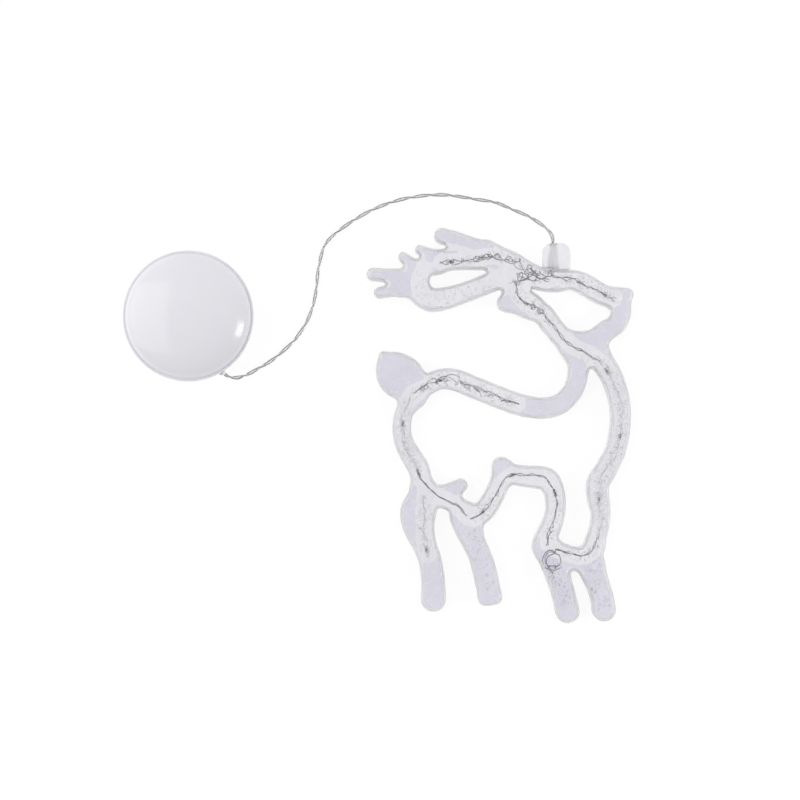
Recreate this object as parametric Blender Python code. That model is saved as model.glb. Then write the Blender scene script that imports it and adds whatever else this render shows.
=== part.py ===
"""Battery window light: a flat clear reindeer with LED wire inside, on a short lead from a
round battery box with a suction cup.

It lies as it is stored, on its back: X to the reindeer's nose, Y to its antlers, Z up. Z = 0 is
the surface under the frame's flat back and the cup's rim. The origin is below the middle.
Lengths below are in millimetres, and MM turns them into Blender's metres."""
import math

import bmesh
import bpy
import numpy as np
from mathutils import Vector
from mathutils.geometry import tessellate_polygon

MM = 0.001
GAP = 0.3                      # clearance between neighbouring pieces

# Reindeer frame
FRAME_DEPTH = 9.0              # back to front
WALL = 1.2                     # wall of the moulded channel
BLEND = 3.0                    # how softly one limb runs into the next
GRID = 1.0                     # spacing of the outline's distance field
OUTLINE_TOLERANCE = 0.22
SHORTEST_EDGE = 0.4
FIELD_BOX = (-10.0, -104.0, 132.0, 104.0)

# Each limb is a smooth line through (x, y, half width)
LIMBS = {
    "brow_tine": [(-3, 75.6, 3.3), (3.5, 75.1, 3.4), (8.5, 73.8, 4.6), (12, 71.3, 6)],
    "bay_tine": [(0.2, 66.4, 2.8), (5.5, 67.5, 3.1), (11.4, 69.3, 4.2), (17.4, 71.8, 6.5)],
    "antler_palm": [(12, 71.3, 6), (17.4, 71.8, 6.8)],
    "antler_loop": [(29.4, 81.5, 5.2), (22.4, 78.8, 5.2), (19.2, 72.8, 5.2), (20.8, 66.4, 5.8),
                    (26, 63, 6), (33, 63.6, 5.6), (40.4, 65.8, 5.1), (48, 68.5, 5),
                    (55.4, 71.5, 5), (63, 74.3, 5)],
    "antler_top": [(29.4, 81.5, 5.2), (36, 83.3, 5.6), (48, 82.7, 4.8), (56.4, 82.5, 5),
                   (66, 80, 6)],
    "short_tine": [(11.9, 84.4, 2.4), (14.9, 81.5, 3.1), (17.9, 77.8, 4)],
    "small_tine": [(20.2, 88, 2.3), (24.4, 86.2, 2.7), (28.4, 84, 3.2)],
    "long_tine": [(31.5, 94.85, 4.0), (39, 92.9, 3.9), (46.4, 90.6, 3.6), (54, 87.8, 4)],
    "head_top": [(54, 87.3, 5.2), (60.4, 83.8, 5.6), (67.4, 79.8, 6), (74.4, 76, 6),
                 (81, 73.3, 5.8), (88.4, 72.4, 5.7), (95.4, 72.9, 5), (101.4, 71.4, 5.2),
                 (107, 68.2, 5.3), (112.4, 65.2, 5.1), (118.4, 63.6, 4.8)],
    "nose": [(118.4, 63.8, 4.6), (124.2, 65.8, 3)],
    "snout": [(120.8, 62, 4.9), (121, 55.8, 4.9), (118.4, 50.7, 5), (113.4, 47.2, 5.3),
              (108.9, 42.8, 5.9), (104.4, 38, 6.8)],
    "cheek": [(97, 42.3, 5), (103, 42, 5.2)],
    "head_back": [(67.6, 76.8, 6), (67.4, 70.8, 5.9), (69.4, 65.3, 5.6), (75, 60.5, 5.4)],
    "ear": [(63.4, 61.4, 4.5), (70, 60.3, 5), (76, 58.8, 5.4)],
    "neck": [(75, 60.5, 5.4), (82.1, 55.6, 5.3), (86.1, 50.4, 5.2), (91, 44.6, 5.2),
             (96.4, 39.8, 5.7), (103.4, 37, 6.6), (108.5, 36, 6)],
    "chest": [(110.6, 33.8, 5.8), (115.6, 25.8, 5.5), (118.8, 17.8, 5.3), (120.7, 8.8, 5.1),
              (120.6, -1.2, 5), (118.4, -12.2, 5), (113.8, -21.7, 5.4), (109.6, -29.2, 5.6),
              (109.8, -37.2, 5.4), (111, -43.7, 4.8), (110.2, -50.7, 4.7), (108.2, -57.7, 4.7)],
    "back": [(96.4, 37.8, 5.5), (99.4, 31.8, 5.2), (99.4, 24.8, 5), (96.8, 17.3, 5),
             (91.7, 11.6, 5.1), (85, 9, 5.3), (77.4, 8.9, 5.4), (68, 11.1, 5.5),
             (56.4, 15.5, 5.5), (45.4, 20, 5.5), (38, 22.8, 5.5), (31, 23.2, 5.2),
             (24.4, 20.2, 5), (18, 15.3, 4.5)],
    "rump": [(18.4, 14.8, 4.7), (14.4, 9.8, 4.7), (11.9, 4.3, 4.7), (11.3, -2.2, 4.7),
             (12.6, -8.7, 4.9), (16, -15.2, 5.2), (19.3, -20.7, 5.4), (21.2, -26.7, 5.2),
             (21.4, -31.2, 5.4)],
    "tail": [(2, 35, 2.2), (9, 26, 10.5), (13.6, 22, 10.2), (16.4, 14.8, 6.8)],
    "far_hind_leg": [(21.4, -31.2, 5.4), (20.9, -36.2, 6.7), (19.8, -42.2, 8.9),
                     (19.3, -46.7, 8.6), (20.3, -52.7, 7.4), (22.9, -60.2, 6),
                     (25.3, -66.7, 5.8), (26.6, -73.7, 5.9), (27.2, -81.2, 6.1),
                     (27.1, -86.8, 6.3)],
    "flank": [(22.4, -32.2, 5), (30.4, -35.7, 5), (38, -39.4, 4.8), (43, -45, 5.4)],
    "flank_tip": [(35, -34, 5), (41, -29.8, 3.2)],
    "near_hind_leg": [(43, -46, 7.6), (44.6, -50.7, 7.3), (46.8, -57.2, 6.1), (49.8, -63.7, 5.8),
                      (52.3, -71.2, 6), (54, -78.7, 6), (55.1, -83.2, 5.8)],
    "near_hind_hoof": [(52.6, -87, 2.9), (58.4, -86.3, 2.9)],
    "stifle": [(46.5, -46.4, 5), (52.4, -42.9, 5.2), (56.4, -37, 5.1), (59.8, -30.2, 5),
               (61.2, -24.7, 4.8), (61.3, -20.6, 4.2)],
    "belly": [(61.3, -20.6, 4.2), (67, -24.2, 5.1), (73.4, -25.5, 5.4), (80.4, -26.1, 5.7),
              (84.4, -27.2, 5.7), (87.4, -32.5, 5.2), (88.4, -38.7, 5), (88, -44.2, 4.9),
              (86.2, -50.2, 5.1), (83.8, -55.6, 5.4), (83.6, -60.7, 6.4)],
    "near_foreleg": [(83.6, -60.7, 6.4), (87.2, -68.7, 6.6), (89.2, -74.2, 6.3),
                     (90.8, -79.7, 5.9), (92.4, -85.2, 5.9), (94.2, -92.9, 6)],
    "knee_bridge": [(85, -62.7, 5.8), (90.4, -64.3, 5.8), (96.4, -66.4, 5.9), (103.4, -67.4, 6.2)],
    "far_foreleg": [(108, -60.7, 4.8), (106.4, -65.2, 5.8), (106.4, -70.2, 6.8),
                    (107.9, -75.7, 6.3), (110, -81.2, 5.8), (111.6, -86.7, 5.7),
                    (112.4, -92, 5.9)],
}

# Cord gland on the head, and the lead's way in
GLAND_CENTRE_X = 88.7
GLAND_MIDDLE_Y = 81.0
GLAND_TOP_Y = 91.2
GLAND_FOOT_Y = 75.0
GLAND_BORE_RADIUS = 1.7
GLAND_WIDTH = 13.8
GLAND_DEPTH = 8.0
GLAND_ROUND = 5.0
LEAD_ENTRY_X = 87.2
LEAD_ENTRY_Z = 4.5
LEAD_ENTRY_RADIUS = 2.0
LEAD_DIAMETER = 2.2
LEAD_POINT_SPACING = 3.4

# Twisted-pair lead, from grommet to gland
LEAD_ROUTE = [(-76.9, 25.8, 12.0), (-75.0, 24.4, 11.7), (-71.4, 23.9, 9.4), (-67.2, 25.0, 5.4),
              (-61.4, 28.2, 2.2), (-53.4, 33.2, 1.2), (-43.3, 42.2, 1.2), (-37.2, 50.8, 1.2),
              (-33.6, 59.3, 1.2), (-31.7, 68.3, 1.2), (-30.5, 79.3, 1.2), (-27.5, 90.3, 1.2),
              (-21.5, 96.8, 1.2), (-13.0, 103.0, 1.2), (-2.1, 109.0, 1.2), (10.0, 113.3, 1.2),
              (20.9, 115.3, 1.2), (29.4, 115.9, 1.2), (36.7, 115.5, 1.2), (47.6, 113.8, 1.2),
              (58.5, 112.0, 1.2), (65.8, 109.0, 1.2), (75.5, 104.8, 1.2), (82.4, 100.2, 2.0),
              (86.2, 96.0, 3.6), (87.2, 91.6, 4.5)]

# LED wire runs inside the channel, (x, y) on the front face and the height they lie at
WIRE_DIAMETER = 1.0
WIRE_POINT_SPACING = 3.4
BEAD_RADIUS = 1.1
BEAD_LENGTH = 4.0
BEAD_TAPER = 0.55
WIRES = {
    "antler": (4.5, [(87.2, 90.6), (87.2, 82), (86.6, 76.4), (80.4, 75.6), (74.4, 78.4),
                     (67.9, 82.2), (60.4, 84.5), (52.9, 84.4), (45.4, 82.8), (38.4, 82),
                     (31.4, 81.9)]),
    "nose": (2.6, [(87.2, 75.2), (92.9, 73.3), (98.4, 72.4), (105.4, 69.4), (113.4, 65.4),
                   (117.6, 63.6)]),
    "chest": (2.6, [(84, 73.2), (80, 74), (74.4, 75.2), (69.4, 73.6), (67.9, 69.8),
                    (70.9, 63.6), (75.9, 59.8), (81.9, 56.4), (86.4, 51), (91.4, 44.8),
                    (97.9, 39), (104.4, 36), (110.9, 31.4), (116.4, 23.8), (119.9, 15.3),
                    (121.2, 5.3), (120.9, -4.7), (117.9, -14.7), (112.9, -23.2),
                    (109.9, -30.7), (110.4, -39.7), (110.7, -49.7), (109.4, -57.4),
                    (105.6, -63.6), (100.4, -65.4), (94.4, -63.9), (88.9, -61.9)]),
    "belly": (2.6, [(84.6, -59), (84.9, -54.7), (87, -49.7), (88.6, -44.2), (88.9, -38.7),
                    (87.2, -31.4), (83.6, -26.6), (80.4, -25.5), (72.9, -24.6), (66.4, -24.8),
                    (61.4, -29.2), (57.4, -36.2), (52, -43), (46.6, -46.6)]),
    "flank": (2.6, [(43, -44.4), (39.4, -40.6), (33.9, -37.4), (26.9, -33.6), (20.9, -26.2),
                    (16.4, -16.4), (12.2, -6.4), (11.9, 2.8), (13.9, 9.8), (15.2, 13.4)]),
    "leg": (2.6, [(22.6, -36.4), (22.2, -42), (22.4, -48), (22.4, -54), (23.2, -60),
                  (24.4, -65)]),
    "back": (2.6, [(17.6, 16.6), (22.4, 18.6), (28, 22), (34.4, 23.6), (40.4, 21.8),
                   (47.9, 18.5), (55.4, 15.6), (62.9, 12.6), (69, 10.9)]),
}
# Coil of slack wire above the near front hoof
SLACK_CENTRE = (87.7, -67.6)
SLACK_RADIUS = 3.9
SLACK_TURNS = 1.6
SLACK_RISE = 1.3
SLACK_START = math.radians(80)
# LEDs on each run, as distances along it
LED_PLACES = {
    "antler": (52.0, 68.0),
    "nose": (14.0, 28.0),
    "chest": (30.5, 84.0, 118.0, 152.0),
    "belly": (26.0, 52.0, 76.0),
    "flank": (32.0, 58.0),
    "leg": (26.0,),
    "back": (14.0, 34.0, 50.0),
}

# Battery box: its own X points to the lead's exit, its Y runs along the cells
BOX_CENTRE = (-94.65, 54.45)
BOX_TURN = math.radians(-59)
BOX_RADIUS = 32.5
BOX_SEGMENTS = 48
TUB_RADIUS = 32.0
TUB_BOTTOM = 8.4
TUB_FLOOR = 9.6
TUB_SHOULDER = 14.8
TUB_TOP = 16.8
RIM_RADIUS = 30.6
TUB_INNER_RADIUS = 29.3
SOCKET_RADIUS = 7.5
SOCKET_BOTTOM = 5.5
SOCKET_HEIGHT = 3.1            # hollow that holds the cup's stud
SOCKET_LIP_HEIGHT = 0.9
SOCKET_HOLLOW_RADIUS = 4.9
SOCKET_MOUTH_RADIUS = 3.4
CRADLE_LENGTH = 40.0
CRADLE_HEIGHT = 5.0
CRADLE_THICKNESS = 1.0
CRADLE_CLEARANCE = 0.75
POST_SIZE = (4.0, 1.6)
POST_SPREAD = 4.0
SINK = 0.5                     # how far a joined piece reaches into the one it stands on
DOME_TOP = 28.5
DOME_EDGE_RADIUS = 31.1
LIP_TOP = 17.0
COVER_WALL = 1.4

# Suction cup on the back of the box
CUP_RADIUS = 19.0
CUP_TOP = 5.2
STUD_NECK_RADIUS = 2.8
STUD_HEAD_RADIUS = 4.4

# AAA cells
CELL_RADIUS = 5.15
CELL_LENGTH = 44.5
CELL_BUTTON_RADIUS = 1.9
CELL_BUTTON_LENGTH = 0.8
CELL_PITCH = 10.9
CELL_ROW_X = -1.0
CELL_SHIFT = 0.7               # a cell sits nearer its button contact than its spring
CELL_Z = TUB_FLOOR + GAP + CELL_RADIUS
SPRING_RADIUS = 2.9
SPRING_WIRE = 0.5
CONTACT_HALF_WIDTH = 3.0
CONTACT_THICKNESS = 0.4
SPRING_TURNS, SPRING_RISE = 2.5, 1.5
SPRING_TAPER = 0.55            # the radius it starts with, as a share of the full one

# Slide switch and driver board in the bay beside the cells
SWITCH_X, SWITCH_Y = 22.0, 9.5
SWITCH_SIZE = (4.4, 8.6, 3.6)
SWITCH_TRAVEL = 2.5
KNOB_SIZE = (2.2, 3.2)
KNOB_BOTTOM = 7.2
SLOT_SIZE = (2.8, 6.4)
BOARD_CENTRE = (22.2, -8.2)
BOARD_SIZE = (6.6, 12.0, 1.0)
BOARD_BOTTOM = 12.0
CHIP_HALF_WIDTH, CHIP_SPAN, CHIP_HEIGHT = 1.9, (-1.5, 2.4), 1.6
RESISTOR_HALF_WIDTH, RESISTOR_SPAN, RESISTOR_HEIGHT = 1.6, (-4.6, -3.0), 0.9
SWITCH_POCKET_DEPTH = 2.3      # above the tub's floor
KNOB_TOP_ABOVE_FLOOR = 1.8

# Grommet: (x, y) of its outer end in the box's frame, and its slant
GROMMET_OUTER = (33.3, 0.3)
GROMMET_SLANT = math.radians(21)
GROMMET_Z = 12.0
GROMMET_LENGTH = 6.0
GROMMET_RADIUS = 1.9
GROMMET_BORE_RADIUS = 1.2
GROMMET_BORE_DEPTH = 1.5

# Wires inside the box
CORE_RADIUS = 0.35
BOX_WIRE_RADIUS = 0.5

CLEAR = dict(colour=(0.86, 0.86, 0.91, 1), roughness=0.12, metallic=0)
WHITE = dict(colour=(0.83, 0.83, 0.86, 1), roughness=0.22, metallic=0)
STEEL = dict(colour=(0.62, 0.62, 0.64, 1), roughness=0.3, metallic=1)
LED = dict(colour=(0.95, 0.93, 0.8, 1), roughness=0.15, metallic=0)
WIRE = dict(colour=(0.55, 0.55, 0.56, 1), roughness=0.4, metallic=0.6)
CELL = dict(colour=(0.12, 0.3, 0.22, 1), roughness=0.35, metallic=0.3)
KNOB = dict(colour=(0.08, 0.08, 0.09, 1), roughness=0.4, metallic=0)
BOARD = dict(colour=(0.05, 0.28, 0.12, 1), roughness=0.45, metallic=0)
CHIP = dict(colour=(0.02, 0.02, 0.02, 1), roughness=0.4, metallic=0)
RESISTOR = dict(colour=(0.1, 0.1, 0.1, 1), roughness=0.5, metallic=0)
RED = dict(colour=(0.6, 0.03, 0.03, 1), roughness=0.5, metallic=0)
BLACK = dict(colour=(0.03, 0.03, 0.03, 1), roughness=0.5, metallic=0)


def clear_scene():
    for old in list(bpy.data.objects):
        bpy.data.objects.remove(old)


def material(name, colour, roughness, metallic):
    made = bpy.data.materials.new(name)
    made.use_nodes = True
    shader = made.node_tree.nodes["Principled BSDF"]
    shader.inputs["Base Color"].default_value = colour
    shader.inputs["Roughness"].default_value = roughness
    shader.inputs["Metallic"].default_value = metallic
    return made


def add_object(name, data, look, parent=None):
    made = bpy.data.objects.new(name, data)
    bpy.context.scene.collection.objects.link(made)
    if look:
        data.materials.append(material(name, **look))
    made.parent = parent
    return made


def mesh_from(name, points, faces, origin=(0, 0, 0)):
    """A mesh from points in millimetres, stored about origin."""
    data = bpy.data.meshes.new(name)
    data.from_pydata([tuple((p[i] - origin[i]) * MM for i in range(3)) for p in points],
                     [], faces)
    shape = bmesh.new()
    shape.from_mesh(data)
    bmesh.ops.recalc_face_normals(shape, faces=shape.faces)
    shape.to_mesh(data)
    shape.free()
    return data


def solid(name, points, faces, look, parent=None, origin=(0, 0, 0), smooth=False):
    data = mesh_from(name, points, faces, origin)
    if smooth:
        data.shade_smooth()
        data.set_sharp_from_angle(angle=math.radians(35))
    made = add_object(name, data, look, parent)
    made.location = Vector(origin) * MM
    return made


def hide_cutter(cutter):
    cutter.hide_render = True
    cutter.display_type = "WIRE"
    return cutter


def combine(target, other, operation="DIFFERENCE", solver="EXACT"):
    step = target.modifiers.new(operation.lower(), "BOOLEAN")
    step.operation = operation
    step.solver = solver
    step.object = hide_cutter(other)


def box_mesh(low, high):
    points = [(x, y, z) for x in (low[0], high[0]) for y in (low[1], high[1])
              for z in (low[2], high[2])]
    faces = [(0, 1, 3, 2), (4, 6, 7, 5), (0, 4, 5, 1), (2, 3, 7, 6), (0, 2, 6, 4), (1, 5, 7, 3)]
    return points, faces


def block(name, low, high, look, parent=None, origin=(0, 0, 0)):
    return solid(name, *box_mesh(low, high), look, parent, origin)


def turned(profile, segments, centre=(0, 0)):
    """Points and faces of a closed profile of (radius, z), turned about a vertical axis.
    A point at radius 0 becomes a single pole."""
    points, rings = [], []
    for radius, z in profile:
        count = segments if radius > 0 else 1
        rings.append(range(len(points), len(points) + count))
        for k in range(count):
            turn = 2 * math.pi * k / segments
            points.append((centre[0] + radius * math.cos(turn),
                           centre[1] + radius * math.sin(turn), z))
    faces = []
    for ring, following in zip(rings, rings[1:] + rings[:1]):
        if len(ring) == 1 and len(following) == 1:
            continue
        for k in range(segments):
            a, b = ring[k % len(ring)], ring[(k + 1) % len(ring)]
            c, d = following[(k + 1) % len(following)], following[k % len(following)]
            faces.append(tuple(dict.fromkeys((a, b, c, d))))
    return points, faces


def rod_between(start, end, radius, segments=16):
    """Points and faces of a round rod from start to end."""
    start, end = Vector(start), Vector(end)
    turn = Vector((0, 0, 1)).rotation_difference(end - start)
    points, faces = turned([(0, 0), (radius, 0), (radius, (end - start).length),
                            (0, (end - start).length)], segments)
    return [tuple(start + turn @ Vector(p)) for p in points], faces


def smooth_route(points, steps):
    """Points on a Catmull-Rom curve through the given ones, steps to a span."""
    rows = [np.array(p, float) for p in points]
    rows = [2 * rows[0] - rows[1]] + rows + [2 * rows[-1] - rows[-2]]
    curve = []
    for a, b, c, d in zip(rows, rows[1:], rows[2:], rows[3:]):
        for t in np.arange(steps) / steps:
            curve.append(0.5 * (2 * b + (c - a) * t + (2 * a - 5 * b + 4 * c - d) * t ** 2
                                + (3 * b - a - 3 * c + d) * t ** 3))
    return np.array(curve + [rows[-2]])


def even_points(route, spacing):
    """The route's smooth curve, read at an even spacing."""
    fine = smooth_route(route, 12)
    along = np.concatenate([[0], np.cumsum(np.linalg.norm(np.diff(fine, axis=0), axis=1))])
    stops = np.linspace(0, along[-1], max(2, round(along[-1] / spacing) + 1))
    return np.stack([np.interp(stops, along, fine[:, i]) for i in range(3)], axis=1), stops


# ---- the outline of the reindeer, from the limbs' distance field

def span_distance(x, y, a, b):
    """Distance to a round-ended span whose half width runs from a's to b's."""
    dx, dy = b[0] - a[0], b[1] - a[1]
    t = np.clip(((x - a[0]) * dx + (y - a[1]) * dy) / max(dx * dx + dy * dy, 1e-9), 0, 1)
    return np.hypot(x - a[0] - t * dx, y - a[1] - t * dy) - (a[2] + t * (b[2] - a[2]))


def frame_field():
    """Grid coordinates, and the distance to the frame's outline at each: negative inside."""
    x, y = np.meshgrid(np.arange(FIELD_BOX[0], FIELD_BOX[2], GRID),
                       np.arange(FIELD_BOX[1], FIELD_BOX[3], GRID), indexing="ij")
    field = np.full(x.shape, 1e3)
    for limb in LIMBS.values():
        spans = smooth_route(limb, 5)
        own = np.full(x.shape, 1e3)
        for a, b in zip(spans, spans[1:]):
            own = np.minimum(own, span_distance(x, y, a, b))
        near = np.clip(BLEND - np.abs(field - own), 0, None) / BLEND
        field = np.minimum(field, own) - near ** 2 * BLEND / 4
    return x, y, field


# For each pattern of corners inside, the cell edges the outline runs from and to
CROSSINGS = {1: [(0, 3)], 2: [(1, 0)], 3: [(1, 3)], 4: [(2, 1)], 5: [(0, 3), (2, 1)],
             6: [(2, 0)], 7: [(2, 3)], 8: [(3, 2)], 9: [(0, 2)], 10: [(1, 0), (3, 2)],
             11: [(1, 2)], 12: [(3, 1)], 13: [(0, 1)], 14: [(3, 0)]}


def outline(x, y, field, level):
    """Closed loops where the field crosses level, anticlockwise round what is inside."""
    inside = field < level
    pattern = (inside[:-1, :-1] * 1 + inside[1:, :-1] * 2 + inside[1:, 1:] * 4
               + inside[:-1, 1:] * 8)
    following = {}
    for i, j in np.argwhere((pattern > 0) & (pattern < 15)):
        edges = [(i, j, 0), (i + 1, j, 1), (i, j + 1, 0), (i, j, 1)]
        for start, end in CROSSINGS[int(pattern[i, j])]:
            following[edges[start]] = edges[end]
    loops = []
    while following:
        edge = next(iter(following))
        loop = []
        while edge in following:
            loop.append(crossing_point(x, y, field, level, edge))
            edge = following.pop(edge)
        loops.append(loop)
    return loops


def crossing_point(x, y, field, level, edge):
    i, j, upright = edge
    k, m = (i, j + 1) if upright else (i + 1, j)
    t = (level - field[i, j]) / (field[k, m] - field[i, j])
    return (x[i, j] + t * (x[k, m] - x[i, j]), y[i, j] + t * (y[k, m] - y[i, j]))


def loop_area(loop):
    ring = np.array(loop)
    following = np.roll(ring, -1, axis=0)
    return 0.5 * float(np.sum(ring[:, 0] * following[:, 1] - following[:, 0] * ring[:, 1]))


def spaced(loop):
    """The loop without the points that crowd the one before them."""
    kept = []
    for point in loop:
        if all(math.dist(point, other) > SHORTEST_EDGE for other in kept[-1:] + kept[:1]):
            kept.append(point)
    return kept


def thinned(points, tolerance):
    """Ramer-Douglas-Peucker on an open run of points."""
    if len(points) < 3:
        return points
    run = np.array(points)
    chord = run[-1] - run[0]
    length = max(float(np.hypot(*chord)), 1e-9)
    off = np.abs((run[:, 0] - run[0, 0]) * chord[1] - (run[:, 1] - run[0, 1]) * chord[0]) / length
    worst = int(np.argmax(off))
    if off[worst] < tolerance:
        return [points[0], points[-1]]
    return thinned(points[:worst + 1], tolerance)[:-1] + thinned(points[worst:], tolerance)


def simple_loops(field_grid, level, smallest=12.0):
    """The main outline at a level and its holes, with only the points they need."""
    traced = outline(*field_grid, level)
    main = max(traced, key=loop_area)
    loops = []
    for loop in traced:
        if loop is not main and loop_area(loop) > -smallest:
            continue
        loop = spaced(loop)
        half = len(loop) // 2
        loops.append(thinned(loop[:half + 1], OUTLINE_TOLERANCE)[:-1]
                     + thinned(loop[half:] + loop[:1], OUTLINE_TOLERANCE)[:-1])
    return loops


def fill(loops, first):
    """Triangles over the first loop less the others, whose points start at first."""
    flat = [[Vector((px, py, 0)) for px, py in loop] for loop in loops]
    starts = [k for number, loop in zip(first, loops) for k in range(number, number + len(loop))]
    return [tuple(starts[k] for k in tri) for tri in tessellate_polygon(flat)]


def rings(loops, z, points):
    """Adds each loop's points at height z, and says where each loop starts."""
    first = []
    for loop in loops:
        first.append(len(points))
        points += [(px, py, z) for px, py in loop]
    return first


def walls(loops, lower, upper):
    """Upright faces between two sets of rings over the same loops."""
    faces = []
    for loop, low, high in zip(loops, lower, upper):
        for k in range(len(loop)):
            following = (k + 1) % len(loop)
            faces.append((low + k, low + following, high + following, high + k))
    return faces


def prism(loops, bottom, top):
    """Points and faces of a straight prism over an outer loop and its holes."""
    points = []
    lower, upper = rings(loops, bottom, points), rings(loops, top, points)
    faces = fill(loops, lower) + fill(loops, upper) + walls(loops, lower, upper)
    return points, faces


def centre_of(loop):
    return np.mean(np.array(loop), axis=0)


def partner(loop, others):
    """The loop of the others that runs round the same hole."""
    return min(range(len(others)),
               key=lambda k: np.hypot(*(centre_of(others[k]) - centre_of(loop))))


def channel(outer, inner, depth, roof):
    """Points and faces of a walled channel, open at z = 0 and closed at depth."""
    inner = [inner[partner(loop, inner)] for loop in outer]
    points = []
    rim, front = rings(outer, 0, points), rings(outer, depth, points)
    mouth, ceiling = rings(inner, 0, points), rings(inner, roof, points)
    faces = walls(outer, rim, front) + walls(inner, mouth, ceiling)
    faces += fill(outer, front) + fill(inner, ceiling)
    for k, pair in enumerate(zip(outer, inner)):
        starts = (rim[k], mouth[k])
        by_area = sorted(zip(pair, starts), key=lambda item: -abs(loop_area(item[0])))
        faces += fill([item[0] for item in by_area], [item[1] for item in by_area])
    return points, faces


def main_first(loops):
    return sorted(loops, key=lambda loop: -abs(loop_area(loop)))


def build_frame(field_grid):
    outer = main_first(simple_loops(field_grid, 0))
    inner = main_first(simple_loops(field_grid, -WALL))
    shell = solid("frame_front_shell", *channel(outer, inner, FRAME_DEPTH, FRAME_DEPTH - WALL),
                  CLEAR)
    entry = rod_between((LEAD_ENTRY_X, GLAND_FOOT_Y + 0.5, LEAD_ENTRY_Z),
                        (LEAD_ENTRY_X, GLAND_MIDDLE_Y + 1, LEAD_ENTRY_Z), LEAD_ENTRY_RADIUS)
    combine(shell, solid("lead_entry_cutter", *entry, None), solver="MANIFOLD")
    plate = prism(main_first(simple_loops(field_grid, -WALL - GAP)), 0, WALL)
    solid("frame_back_cover", *plate, CLEAR)


def build_gland(field_grid):
    """A rounded sleeve whose foot follows the top of the head."""
    x, y, field = field_grid
    inner_x = np.abs(x - GLAND_CENTRE_X) - (GLAND_WIDTH / 2 - GLAND_ROUND)
    inner_y = np.abs(y - GLAND_MIDDLE_Y) - (GLAND_TOP_Y - GLAND_MIDDLE_Y - GLAND_ROUND)
    rounded = (np.hypot(np.clip(inner_x, 0, None), np.clip(inner_y, 0, None))
               + np.minimum(np.maximum(inner_x, inner_y), 0) - GLAND_ROUND)
    foot = GAP - field
    above_head = GLAND_FOOT_Y - y
    sleeve = np.maximum(np.maximum(rounded, foot), above_head)
    loops = simple_loops((x, y, sleeve), 0, smallest=30.0)
    bottom = (FRAME_DEPTH - GLAND_DEPTH) / 2
    gland = solid("cord_gland", *prism(loops, bottom, bottom + GLAND_DEPTH), CLEAR)
    bore = rod_between((LEAD_ENTRY_X, GLAND_FOOT_Y - 5, LEAD_ENTRY_Z),
                       (LEAD_ENTRY_X, GLAND_TOP_Y + 4, LEAD_ENTRY_Z), GLAND_BORE_RADIUS)
    combine(gland, solid("gland_bore_cutter", *bore, None))


# ---- wires

def tube(name, run, radius, look, sides=2, parent=None):
    """Round wire along a run of points, with closed ends."""
    data = bpy.data.curves.new(name, "CURVE")
    data.dimensions = "3D"
    data.bevel_depth = radius * MM
    data.bevel_resolution = sides
    data.render_resolution_u = 0
    data.use_fill_caps = True
    line = data.splines.new("POLY")
    line.points.add(len(run) - 1)
    for point, place in zip(line.points, run):
        point.co = (*[float(v) * MM for v in place], 1)
    return add_object(name, data, look, parent)


def slack_coil(z):
    """Turns of spare wire that rise a little as they go round."""
    stops = np.linspace(0, SLACK_TURNS * 2 * math.pi, round(SLACK_TURNS * 14) + 1)
    return [(SLACK_CENTRE[0] + SLACK_RADIUS * math.cos(SLACK_START + s),
             SLACK_CENTRE[1] + SLACK_RADIUS * math.sin(SLACK_START + s),
             z + SLACK_RISE * s / (2 * math.pi)) for s in stops]


def build_led(name, run, distance):
    """A chip in a drop of resin that lies on the wire, in line with it."""
    points, stops = run
    before, after = (Vector([float(np.interp(distance + reach, stops, points[:, i]))
                             for i in range(3)]) for reach in (-0.5, 0.5))
    turn = Vector((0, 0, 1)).rotation_difference(after - before)
    centre = (before + after) / 2 + Vector((0, 0, WIRE_DIAMETER / 2 + GAP + BEAD_RADIUS))
    small, half = BEAD_RADIUS * BEAD_TAPER, BEAD_LENGTH / 2
    profile = [(0, -half), (small, -half), (BEAD_RADIUS, -half / 2), (BEAD_RADIUS, half / 2),
               (small, half), (0, half)]
    points, faces = turned(profile, 8)
    solid(name, [tuple(centre + turn @ Vector(p)) for p in points], faces, LED)


def build_led_wires():
    for name, (z, flat_route) in WIRES.items():
        route = [(px, py, z) for px, py in flat_route]
        if name == "chest":
            route += slack_coil(z)
        run = even_points(route, WIRE_POINT_SPACING)
        tube("led_wire_" + name, run[0], WIRE_DIAMETER / 2, WIRE, sides=1)
        for k, distance in enumerate(LED_PLACES[name], 1):
            build_led(f"led_{name}_{k}", run, distance)


def build_lead():
    points, _ = even_points(LEAD_ROUTE, LEAD_POINT_SPACING)
    tube("lead", points, LEAD_DIAMETER / 2, dict(CLEAR, colour=(0.7, 0.7, 0.7, 1)))


# ---- battery box, in its own frame

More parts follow.
